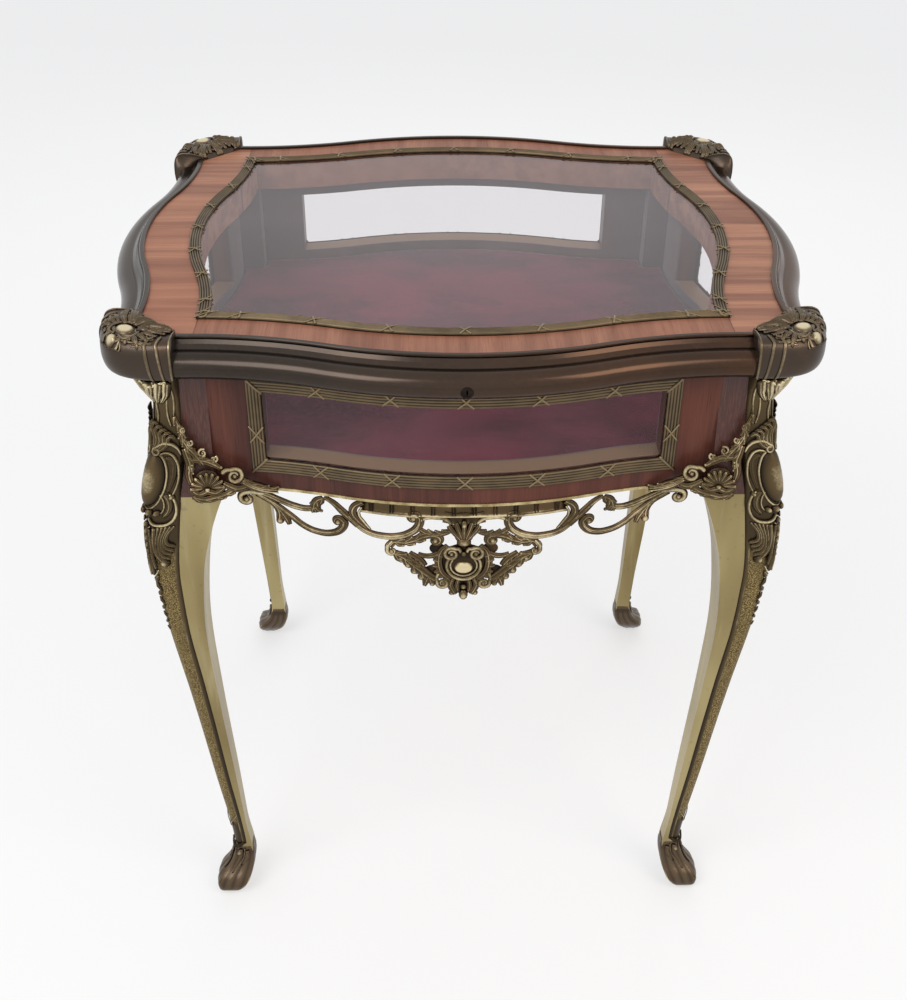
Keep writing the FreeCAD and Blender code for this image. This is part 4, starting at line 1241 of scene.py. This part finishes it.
def makeBrackets(look):
    drawing = drawBracket(look)
    for side in sideTurns:
        casting = Casting("bracketCasting_" + side)
        outward = turnedTo(side, 0, 1, 0).normalized()
        for way in (-1, 1):
            origin, normal = bracketPlane(side, way, outward, look)

            def place(u, v, h):
                flat = turnedTo(side, way * (look["edge"][side] - u), 0, look["base"] + v)
                depth = (origin - flat).dot(normal) / outward.dot(normal)
                return flat + outward * depth + normal * (h - look["sunk"]) * mm
            drawing.layInto(casting, place)
        casting.finish("case", "cast_brass", "cast", ["spandrel_mounts_" + side])
    drawing.mesh.free()


makeBrackets(bracketLook)
print("brackets cast")



# long mounts down the outer corner of each leg: arm is the width of each side and skin its
# thickness by height, shift how much wider than deep the table stands at its legs
mountLook = {
    "shift": 34.0,
    "corner": 8.0,
    "low": 66.0,
    "high": 725.5,
    "arm": [(66, 11.5), (110, 12), (200, 13.5), (300, 15.5), (420, 18.5), (500, 22),
            (545, 26.5), (590, 30), (640, 28), (672, 22), (700, 21), (726, 22)],
    "skin": [(66, 2.4), (540, 3.0), (600, 4.0), (640, 3.6), (672, 3.0), (700, 3.4),
             (714, 8.0), (726, 12.0)],
    "matted": (112.0, 536.0),
    "husks": 6,
    "leaves": 8,
    "grid": (28, 220),
    "back": 0.0006,
}


def legFaces(look):
    # distance of the leg's outer face from the middle, by height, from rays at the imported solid
    target = solidOf("leg_back_right")
    rows = []
    for z in range(62, 726, 6):
        level = 0.2345 if z > 260 else 0.2295
        hit = target.ray_cast(Vector((1, level, z * mm)), Vector((-1, 0, 0)))[0]
        if hit is not None:
            rows.append((float(z), hit.x * 1000 - look["shift"]))
    return rows


def onCorner(corner, rows, rounding):
    # across from the ridge (positive over the front or back face), height over the floor, out
    signX, signY = corners[corner]

    def place(s, z, h):
        ground = between(rows, z) + h
        r = rounding + max(h, 0) * 0.6
        quarter = r * math.pi / 4
        if abs(s) <= quarter:
            angle = math.pi / 4 + s / r
            x = ground - r + r * math.cos(angle)
            y = ground - r + r * math.sin(angle)
        elif s > 0:
            x, y = ground - r - (s - quarter), ground
        else:
            x, y = ground, ground - r - (-s - quarter)
        return Vector((signX * (x + mountLook["shift"]), signY * y, z)) * mm
    return place


def makeSkin(casting, place, look):
    # ground of the mount: raised border, sunk and matted field, and the flare of the capital
    low, high = look["low"], look["high"]
    foot, head = look["matted"]
    for vert in sheet(casting.mesh, *look["grid"]):
        z = low + (high - low) * vert.co.y
        arm = between(look["arm"], z)
        s = (vert.co.x * 2 - 1) * arm
        edge = arm - abs(s)
        height = between(look["skin"], z) * ease(0, 1.2, edge)
        if z < head + 14:
            height *= 1 - 0.45 * ease(2.2, 3.4, edge)
        inside = ease(foot - 10, foot, z) * (1 - ease(head, head + 14, z))
        vert[casting.panel] = inside * ease(2.6, 3.6, edge)
        # painted highlight along the border and painted shade in a dark line outside it, below the
        # capital
        rim = ease(0.9, 1.6, edge) * (1 - ease(2.4, 3.0, edge))
        border = 0.45 * rim - 0.42 * (1 - ease(0.4, 1.0, edge))
        vert[casting.relief] = 0.42 + 0.30 * ease(640, 725, z) + border * (1 - ease(535, 550, z))
        vert.co = place(s, z, height if 0.01 < vert.co.x < 0.99 else -0.8)


def drawMount(look):
    # one side of the ridge, mirrored; across and height over the floor
    m = Casting("mountDrawing")
    # swirled petals of the capital
    for start, end, width in ((1, 9, 13), (8, 18, 12), (15, 25, 10)):
        petal = [(start * 0.4 + 1, 696), (start, 706), ((start + end) / 2, 715), (end, 723.5)]
        m.strand("leaf", petal, (3, width, width), (3.4, 8, 13), shine=1.35)
    m.strand("cord", [(0, 723), (8, 719), (16, 721), (25, 724)], (3, 4, 3), (13.6, 13.4, 13.6), shine=1.3)
    edge = [(20, 725), (20.5, 712), (19, 698), (18.5, 684), (20, 672)]
    m.strand("cord", edge, (2, 2.4, 1.6), (9, 3.4, 3))
    # stem with a hollow panel
    m.strand("cord", [(3, 702), (2.5, 694), (4, 684), (3, 674)], (2.2, 2.6, 2), 3.4)
    m.strand("cord", [(13, 704), (12, 692), (13, 682), (16, 672)], (2, 2.4, 2), 3.2)
    # ribbed fan above the oval
    for i in range(5):
        t = i / 4
        top = (1 + 17 * t, 676 - 13 * t)
        bend = (3 + 12 * t, 663 - 9 * t)
        m.strand("leaf", [(1, 645), bend, top, (top[0] + 4, top[1] - 3)], (3.2, 5.6, 3.2), (4.5, 6.5, 4))
    m.strand("cord", [(2, 648), (9, 655), (18, 656), (25, 651), (28, 644)], (3, 3.6, 2), (5.5, 6, 4))
    m.strand("cord", curl(6, 648, 4.5, 90, 1.2), (3, 2.6, 1.4), 6)
    # crescent with its bright rim
    m.strand("cord", [(8, 645), (17, 646), (25, 639), (29, 627), (29, 614), (26, 604)], (2, 3, 2), 5.0)
    m.strand("leaf", [(13, 641), (20, 638), (23, 628), (22, 616), (20, 606)], (4, 7, 4), 3.6, shine=0.8)
    m.bead(26, 602, 2.6, 5)
    # beads and large scroll under the oval
    m.bead(4.5, 586, 3.8, 5.5)
    m.bead(12, 585, 3.4, 5)
    large = [(23, 605), (28, 600), (31, 592), (30, 582), (24, 574), (15, 571), (7, 573), (3, 579)]
    m.strand("cord", large, (2.4, 4, 3), 5.0)
    m.strand("leaf", [(18, 604), (23, 597), (23, 588), (17, 580)], (4, 7, 4), 4.0)
    m.strand("cord", [(14, 604), (18, 597), (18, 589), (14, 583)], (1.4, 2, 1.4), 4.6)
    # nested ribs of the leaf below
    for i in range(5):
        t = i / 4
        top = (27 - 16 * t, 570 - 2 * t)
        left = (19 - 10 * t, 557 - 9 * t)
        turn = (20 - 8 * t, 549 - 19 * t)
        end = (26 - 8 * t, 546 - 20 * t)
        m.strand("leaf", [top, left, turn, end], (2.6, 4.6, 3.2), (4, 5, 3.4))
    m.strand("leaf", [(8, 568), (7, 552), (9, 538), (14, 528)], (4, 5.5, 6), (5, 5, 4))
    m.dome(15, 526, (3.4, 5.0, 3.4), 3.6, 20)
    m.strand("leaf", [(2, 566), (3.5, 550), (4, 534), (6, 520)], (3, 4, 3), 5)
    m.mirror()
    # chain of small husks on the ridge
    for i in range(look["husks"]):
        z = 572 - i * 8.0
        m.dome(0, z, (2.6 - 0.1 * i, 3.4, 3.0), 5.0)
        m.strand("cord", [(-3.4, z - 3), (0, z - 5.4), (3.4, z - 3)], (1.2, 2.0, 1.2), 4.6)
    # spear leaf, then husks that thin out down the leg
    m.strand("leaf", [(0, 536), (0, 524), (0, 511)], (5, 9, 8), 4.2)
    m.strand("cord", [(-8, 518), (-3, 511), (3, 511), (8, 518)], (1.4, 2.0, 1.4), 4.6)
    for i in range(look["leaves"]):
        z = 503 - i * 9.5
        size = 1 - i * 0.085
        across = 3.4 * size if i % 2 else -3.4 * size
        leaf = [(-across, z + 5 * size), (0, z), (across, z - 5 * size)]
        m.strand("leaf", leaf, (2.4, 6.6 * size, 2.4), 2.4)
    # oval cabochon astride the ridge
    m.dome(0, 618, (15.5, 27.0, 6.0), 3.6, shine=0.9, fine=True)
    turns = [math.radians(a) for a in range(0, 360, 30)]
    oval = [(17.5 * math.cos(a), 618 + 29.5 * math.sin(a)) for a in turns]
    m.strand("cord", oval, 2.6, 4.2, closed=True)
    # ogee under the matted field and the collar over the shoe
    ogee = [(-11, 122), (-6, 114), (-2, 108), (0, 100), (2, 108), (6, 114), (11, 122)]
    m.strand("cord", ogee, (1.2, 2.0, 1.2), 2.2)
    m.strand("leaf", [(-11.5, 70), (-5, 64), (0, 62.5), (5, 64), (11.5, 70)], (4, 6, 4), 2.6, shine=0.5)
    m.cast()
    return m


def makeMounts(look):
    drawing = drawMount(look)
    faces = legFaces(look)
    for corner in corners:
        casting = Casting("mountCasting_" + corner)
        place = onCorner(corner, faces, look["corner"])
        makeSkin(casting, place, look)
        giveBack(casting, Vector((*corners[corner], 0)), look["back"])
        drawing.layInto(casting, place)
        casting.finish("case", "cast_brass", "mount", ["leg_mount_" + corner])
    drawing.mesh.free()


makeMounts(mountLook)
print("leg mounts cast")


# fluted shoes on the feet; square is how square their plan is, margin how far from either end of
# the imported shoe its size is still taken
shoeLook = {
    "height": 60.0,
    "margin": 1.5,
    "flutes": 12,
    "flute": 0.9,
    "corner": 7.0,
    "square": 4.6,
    "wall": 0.6,
    "grid": (96, 40),
}


def footRows(target, look):
    # height and the middle and half size of the shoe along both axes, from rays across it
    rows = []
    middle = Vector((0.272, 0.238, 0))
    for i in range(int(look["height"] - 2 * look["margin"]) + 1):
        z = look["margin"] + i
        middle.z = z * mm
        half = []
        for axis in (Vector((1, 0, 0)), Vector((0, 1, 0))):
            far = target.ray_cast(middle + axis * 0.2, -axis)[0]
            near = target.ray_cast(middle - axis * 0.2, axis)[0]
            middle += axis * ((far + near) / 2 - middle).dot(axis)
            half.append((far - near).length / 2)
        rows.append((z, middle.x, middle.y, max(half)))
    return rows


def drawShoe():
    s = Casting("shoeDrawing")
    for way in (-1, 1):
        s.dome(7 * way, 53, (3.4, 5.0, 2.6), 1.0, shine=1.2)
        s.strand("leaf", [(7 * way, 56), (8.5 * way, 46), (7 * way, 38), (9 * way, 30)], (5, 5, 2), 1.0)
        s.strand("leaf", [(15 * way, 55), (17 * way, 46), (14 * way, 37)], (4, 6, 2), 1.0)
        line = [(11.5 * way, 58), (12.5 * way, 47), (11.5 * way, 35), (12.5 * way, 24)]
        s.strand("cord", line, (1.2, 1.8, 1.2), 0.8)
    s.strand("cord", [(0, 59), (0, 47), (0, 34), (0, 20)], (2.2, 2.8, 1.8), 0.6, shine=0.8)
    s.cast()
    return s


def makeShoe(corner, drawing, rows, look):
    casting = Casting("shoeCasting_" + corner)
    signX, signY = corners[corner]
    faces = [(z, (x + half) * 1000 - mountLook["shift"] - look["wall"]) for z, x, y, half in rows]
    drawing.layInto(casting, onCorner(corner, faces, look["corner"]))
    centreX = [(z, x) for z, x, y, half in rows]
    centreY = [(z, y) for z, x, y, half in rows]
    halves = [(z, half) for z, x, y, half in rows]
    n = look["square"]
    for vert in sheet(casting.mesh, *look["grid"]):
        angle = vert.co.x * 2 * math.pi
        z = look["height"] * vert.co.y
        level = min(max(z, look["margin"]), look["height"] - look["margin"])
        c, s = math.cos(angle), math.sin(angle)
        reach = between(halves, level) / (abs(c) ** n + abs(s) ** n) ** (1 / n)
        reach -= 0.004 * (1 - ease(0, 8, z)) ** 2
        flute = abs(math.sin(look["flutes"] * angle / 2)) * ease(8, 18, z) * (1 - ease(46, 54, z))
        toe = ease(4, 6, z) * (1 - ease(8, 10, z))
        # painted light: flute crests, the raised toe ring and the top collar lighter, flute hollows
        # darker
        vert[casting.relief] = 0.25 + 0.40 * flute + 0.9 * toe + 0.35 * ease(55, 57, z)
        reach += (flute * look["flute"] - 0.3 + 0.3 * toe - 1.2 * ease(50, 60, z)) * mm
        x, y = between(centreX, level) + c * reach, between(centreY, level) + s * reach
        vert.co = Vector((signX * x, signY * y, z * mm))
    casting.fillRims(200)
    casting.finish("case", "cast_brass", "shoe", ["sabot_" + corner])


def makeShoes(look):
    rows = footRows(solidOf("sabot_back_right"), look)
    drawing = drawShoe()
    for corner in corners:
        makeShoe(corner, drawing, rows, look)
    drawing.mesh.free()


makeShoes(shoeLook)
print("shoes cast")



# corner caps: a rounded casting over the moulding with leaves and a pair of cabochons on top; rows
# are (share of the way in, height) up the outside and over the top
capLook = {
    "corner": (305.0, 249.0),
    "wing": 43.0,
    "reach": 73.0,
    "square": 3.2,
    "inner": 4.0,
    "rows": [(1.0, 728.4), (0.30, 728.6), (0.12, 729.6), (0.04, 733.0), (0.0, 741.0),
             (0.0, 750.0), (0.02, 757.0), (0.07, 762.5), (0.16, 766.0), (0.35, 768.0),
             (0.70, 767.0), (0.92, 764.5), (1.0, 760.2)],
    "lowest": 758.0,
    "grid": (60, 48),
}


def softStep(p0, p1, p2, p3, t):
    # smooth curve through four values, between the middle two
    a = 2 * p1
    b = p2 - p0
    c = 2 * p0 - 5 * p1 + 4 * p2 - p3
    d = -p0 + 3 * p1 - 3 * p2 + p3
    return 0.5 * (a + b * t + c * t * t + d * t ** 3)


def capPoint(t, s, look):
    # along the outline and up the profile, both from 0 to 1, measured from the corner of the lid
    angle = math.radians(90 * t)
    c, d = math.cos(angle), math.sin(angle)
    n = look["square"]
    r = look["reach"] / (abs(c) ** n + abs(d) ** n) ** (1 / n)
    outA, outB = r * c - look["wing"], r * d - look["wing"]
    inA = -look["inner"] + (look["inner"] - look["wing"]) * t
    inB = -look["wing"] + (look["wing"] - look["inner"]) * t
    rows = look["rows"]
    end = len(rows) - 1
    i = min(int(s * end), end - 1)
    near = [rows[min(max(k, 0), end)] for k in (i - 1, i, i + 1, i + 2)]
    share, z = (softStep(*values, s * end - i) for values in zip(*near))
    return Vector((outA + (inA - outA) * share, outB + (inB - outB) * share, z))


def onCapSkin(t, s, h, look):
    # out from the skin along its normal
    t = min(max(t, 0.001), 0.999)
    s = min(max(s, 0.001), 0.999)
    along = capPoint(min(t + 0.01, 1), s, look) - capPoint(max(t - 0.01, 0), s, look)
    upward = capPoint(t, min(s + 0.01, 1), look) - capPoint(t, max(s - 0.01, 0), look)
    return capPoint(t, s, look) + along.cross(upward).normalized() * h


def drawCapTop():
    # on the diagonal of the corner: across and outwards
    c = Casting("capTopDrawing")
    c.strand("cord", curl(5.5, 13.5, 4.0, 190, -1.0), (2.4, 2.2, 1.4), 1.0)
    border = [(3, 10.5), (9.5, 11.5), (14.5, 7), (15, -1), (11, -8), (4, -10.5)]
    c.strand("cord", border, (2.4, 3.6, 2.6), 1.2)
    c.strand("cord", [(12, 11), (17.5, 7), (18.5, -1), (15, -9)], (1.4, 2.4, 1.6), 0.6)
    c.strand("cord", [(7, 12), (10.5, 16), (9, 22), (4, 25), (0, 25.5)], (2.4, 3.4, 2.6), 1.2)
    c.strand("cord", [(11, 14), (14, 19), (12, 25), (6, 29), (0, 30)], (1.4, 2.4, 1.6), 0.6)
    c.bead(9.5, 26, 2.2, 1.2)
    c.bead(16, 12.5, 2.0, 1.2)
    c.bead(17, 8, 1.6, 1.2)
    # leaves that spill over the wings
    for i in range(4):
        t = i / 3
        tip = (27 + 5 * t, 8 - 26 * t)
        c.strand("leaf", [(17, 4 - 12 * t), (22 + 2 * t, 6 - 19 * t), tip], (4, 6, 3), (0.8, 2.2, 0.6))
        c.bead(tip[0], tip[1], 1.8, 0.8)
    c.strand("cord", curl(24, -16, 4.4, 20, 1.1), (2.6, 2.4, 1.4), 1.6)
    c.strand("cord", curl(29, -6, 3.8, 200, -1.1), (2.4, 2.2, 1.4), 1.6)
    # knobbly leaves towards the glass
    for i in range(4):
        angle = math.radians(276 + 24 * i)
        ca, sa = math.cos(angle), math.sin(angle)
        reach = 24 - 1.5 * i
        leaf = [(ca * 9, -4 + sa * 9), (ca * 17, -6 + sa * 16), (ca * reach, -8 + sa * reach)]
        c.strand("leaf", leaf, (4, 7.5, 4), (0.8, 3.2, 0.4))
        c.bead(ca * reach, -8 + sa * reach, 2.6, 0.4)
        c.bead(ca * 15 + 2, -5 + sa * 13, 1.8, 2.6)
        c.strand("cord", curl(ca * 19 + 3.5, -7 + sa * 18, 3.0, 120, 1.0), (2.2, 2.0, 1.2), 1.6)
    # leaf that reaches out along each wing
    wing = [(7, -13), (14, -19), (21, -25), (27, -30)]
    c.strand("leaf", wing, (5, 10, 7), (2.0, 3.6, 1.0))
    leafLobes(c, wing, 5.0, 5.0, 1, 1.6)
    leafLobes(c, wing, 5.0, 5.0, -1, 1.6)
    c.bead(28, -31, 3.0, 0.8)
    c.strand("leaf", [(15, -8), (22, -14), (28, -20), (31, -26)], (4, 7, 4), (1.6, 2.8, 0.8))
    c.mirror()
    # a low dome with little shine under the large cabochon is painted shade; the cabochons' high shine is
    # a painted highlight
    c.dome(0, 1.5, (11.5, 10.0, 1.8), 0.2, shine=0.3, fine=True)
    c.dome(0, 1.5, (9.8, 8.4, 3.4), 0.6, shine=1.7, fine=True)
    c.dome(0, 17.0, (6.4, 5.2, 2.6), 0.6, shine=1.5, fine=True)
    c.strand("leaf", [(0, -9), (0, -20), (0, -31)], (5, 9, 5), (1.2, 3.4, 0.4))
    c.bead(0, -31, 3.0, 0.4)
    c.cast()
    return c


def drawCapWall():
    # along the outline (0 to 1) and up the profile (0 to 1), stretched to millimetres
    w = Casting("capWallDrawing")
    length, height = 100.0, 60.0
    for level, width in ((0.66, 2.2), (0.72, 2.6), (0.78, 2.0)):
        points = [(length * (0.16 + 0.68 * i / 8), height * level) for i in range(9)]
        w.strand("cord", points, (width * 0.6, width, width * 0.6), 0.3)
    for start, way in ((0.0, 1), (1.0, -1)):
        def along(rows):
            return [(length * (start + way * a), height * v) for a, v in rows]

        # straps and rim of the wing, then short ribs beside them
        for shift in (0.165, 0.075):
            strap = [(shift + 0.012 * i, v) for i, v in enumerate((0.20, 0.32, 0.44, 0.56, 0.66))]
            w.strand("cord", along(strap + [(shift + 0.03, 0.76)]), (2.1, 3.0, 3.0), 0.5)
        rim = [(0.012, v) for v in (0.20, 0.36, 0.52, 0.66, 0.80, 0.92)]
        w.strand("cord", along(rim), (2.4, 3.0, 2.4), 0.3)
        for i in range(4):
            v = 0.60 + 0.035 * i
            w.strand("cord", along([(0.22, v), (0.27, v + 0.01), (0.31, v - 0.01)]), (1, 1.8, 0.8), 0.2)
    w.cast()
    return w, length, height


def makeCap(corner, top, wall, length, height, look):
    casting = Casting("capCasting_" + corner)
    signX, signY = corners[corner]
    cornerX, cornerY = look["corner"]

    def outward(spot):
        return Vector((signX * (cornerX + spot.x), signY * (cornerY + spot.y), spot.z)) * mm

    skin = bmesh.new()
    for vert in sheet(skin, *look["grid"]):
        vert.co = capPoint(vert.co.x, vert.co.y, look)
    target = BVHTree.FromBMesh(skin)
    skin.free()
    middle = Vector((-15, -15, 0))

    def onTop(u, v, h):
        spot = Vector((v + u, v - u, 0)) * math.sqrt(0.5)
        hit = None
        # ornament past the rim is drawn in onto it
        while hit is None:
            hit = target.ray_cast(spot + Vector((0, 0, 900)), Vector((0, 0, -1)))[0]
            spot = spot.lerp(middle, 0.02 if hit is None else 0)
        return outward(Vector((spot.x, spot.y, max(hit.z, look["lowest"]) + h)))

    top.layInto(casting, onTop)
    wall.layInto(casting, lambda u, v, h: outward(onCapSkin(u / length, v / height, h, look)))
    for vert in sheet(casting.mesh, *look["grid"]):
        vert[casting.relief] = 0.16
        vert.co = outward(capPoint(vert.co.x, vert.co.y, look))
    casting.fillRims(400)
    casting.finish("lid", "cast_brass", "cap", ["corner_cap_" + corner])


def makeCaps(look):
    top = drawCapTop()
    wall, length, height = drawCapWall()
    for corner in corners:
        makeCap(corner, top, wall, length, height, look)
    top.mesh.free()
    wall.mesh.free()


makeCaps(capLook)
print("corner caps cast")


# velvet pad on the floor of the case, with soft hollows and low crests; waves are (along x, start,
# along y, start) and a slanted pair
padLook = {
    "voxel": 0.0035,
    "crown": 0.0012,
    "inset": 0.998,
    "edge": 0.03,
    "depth": 0.0004,
    "waves": (17, 1.3, 14, -0.6),
    "slant": (41, 33),
}


def makePad(look):
    low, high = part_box("velvet_floor")
    pad = newObject("velvetPad", newMesh("velvetPad", copyOf("velvet_floor")))
    remesh = pad.modifiers.new("remesh", "REMESH")
    remesh.mode = "VOXEL"
    remesh.voxel_size = look["voxel"]
    graph = bpy.context.evaluated_depsgraph_get()
    made = bpy.data.meshes.new_from_object(pad.evaluated_get(graph))
    pad.modifiers.clear()
    pad.data = made
    middle = (low.z + high.z) / 2
    alongX, startX, alongY, startY = look["waves"]
    slantX, slantY = look["slant"]
    for vertex in made.vertices:
        x, y, z = vertex.co
        if z > middle:
            # drawn down at its edges
            edge = ease(0, look["edge"], min(high.x - abs(x), high.y - abs(y)))
            wave = math.sin(x * alongX + startX) * math.cos(y * alongY + startY)
            wave += 0.5 * math.sin(x * slantX + y * slantY)
            z -= look["crown"] * (1 - edge) + look["depth"] * (1 + wave)
        vertex.co = (x * look["inset"], y * look["inset"], min(z, high.z))
    for polygon in made.polygons:
        polygon.use_smooth = True
    made.materials.clear()
    made.materials.append(finishes["velvet"])
    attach(pad, "case")
    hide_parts("velvet_floor")
    print("velvet pad", len(made.polygons), "faces")


makePad(padLook)


# studio: camera, lamps as (name, place, aim, size, power, colour), white room and paper floor
studio = {
    "eye": (-0.0358, -1.2876, 1.2973),
    "pitch": 0.6041,
    "yaw": 0.02525,
    "roll": 0.00861,
    "focal": 1280,
    "picture": (907, 1000),
    "sensor": 36.0,
    "lamps": [
        ("keyLamp", (-1.3, -1.5, 2.3), (0, 0, 0.45), (1.6, 1.2), 26, (1, 1, 1)),
        ("fillLamp", (1.45, -1.35, 2.1), (0, 0, 0.45), (1.2, 1.0), 14, (1.0, 0.86, 0.73)),
        ("rearLamp", (0.4, 2.2, 2.0), (0, 0, 0.6), (2.0, 1.0), 12, (1, 1, 1)),
    ],
    "unmirrored": "rearLamp",
    "room": (0.66, 0.67, 0.69),
    "white": (1, 1, 1),
    "paper": ((0.91, 0.91, 0.91), (0.94, 0.94, 0.94)),
    "plainShare": 0.55,
    "floorHalf": 9,
}


def makeCamera(look):
    data = bpy.data.cameras.new("camera")
    data.sensor_width = look["sensor"]
    data.lens = look["focal"] * look["sensor"] / max(look["picture"])
    camera = newObject("camera", data)
    yaw, pitch = look["yaw"], look["pitch"]
    ahead = Vector((math.sin(yaw) * math.cos(pitch), math.cos(yaw) * math.cos(pitch), -math.sin(pitch)))
    level = Vector((math.cos(yaw), -math.sin(yaw), 0))
    upward = level.cross(ahead)
    turned = Matrix.Rotation(-look["roll"], 3, "Z")
    axes = Matrix((level, upward, -ahead)).transposed() @ turned.inverted()
    camera.matrix_world = Matrix.Translation(look["eye"]) @ axes.to_4x4()
    bpy.context.scene.camera = camera


def seenDirectly(r):
    # 1 for what the camera sees, itself, in a mirror or through glass
    camera, glossy, through = (r.add("ShaderNodeLightPath", out=i) for i in (0, 3, 6))
    return camera.atLeast(glossy).atLeast(through)


def makeWorld(look):
    world = bpy.data.worlds.new("studioWorld")
    bpy.context.scene.world = world
    r = Recipe(world, "ShaderNodeOutputWorld")
    colour = r.blend(seenDirectly(r), look["room"], look["white"])
    r.finish(r.add("ShaderNodeBackground", sockets={"Color": colour}))


def makeLamp(name, place, aim, size, power, colour):
    data = bpy.data.lights.new(name, "AREA")
    data.shape = "RECTANGLE"
    data.size, data.size_y = size
    data.energy = power
    data.color = colour
    lamp = newObject(name, data)
    lamp.location = place
    lamp.rotation_euler = (Vector(aim) - Vector(place)).to_track_quat("-Z", "Y").to_euler()
    return lamp


def makeFloor(look):
    mesh = bmesh.new()
    bmesh.ops.create_grid(mesh, x_segments=1, y_segments=1, size=look["floorHalf"])
    floor = newObject("studioFloor", newMesh("studioFloor", mesh))
    # white paper: half of what the camera sees is plain white, the rest keeps the soft shadow
    r = newRecipe("studioFloorPaper")
    colour = r.blend(r.noise(r.place(), 1.5, 2, 0.5), *look["paper"])
    paper = r.principled(colour, {"Roughness": 0.85, "Specular IOR Level": 0.1})
    plain = r.add("ShaderNodeEmission", sockets={"Color": (*look["white"], 1), "Strength": 1.0})
    share = seenDirectly(r) * look["plainShare"]
    r.finish(r.add("ShaderNodeMixShader", sockets={0: share, 1: paper, 2: plain}))
    floor.data.materials.append(r.owner)


makeCamera(studio)
makeWorld(studio)
makeFloor(studio)
for values in studio["lamps"]:
    lamp = makeLamp(*values)
    lamp.visible_glossy = lamp.name != studio["unmirrored"]
bpy.context.scene.view_settings.view_transform = "Standard"
print("studio lit")

for holder, shades in sections.values():
    bpy.data.objects.remove(holder)
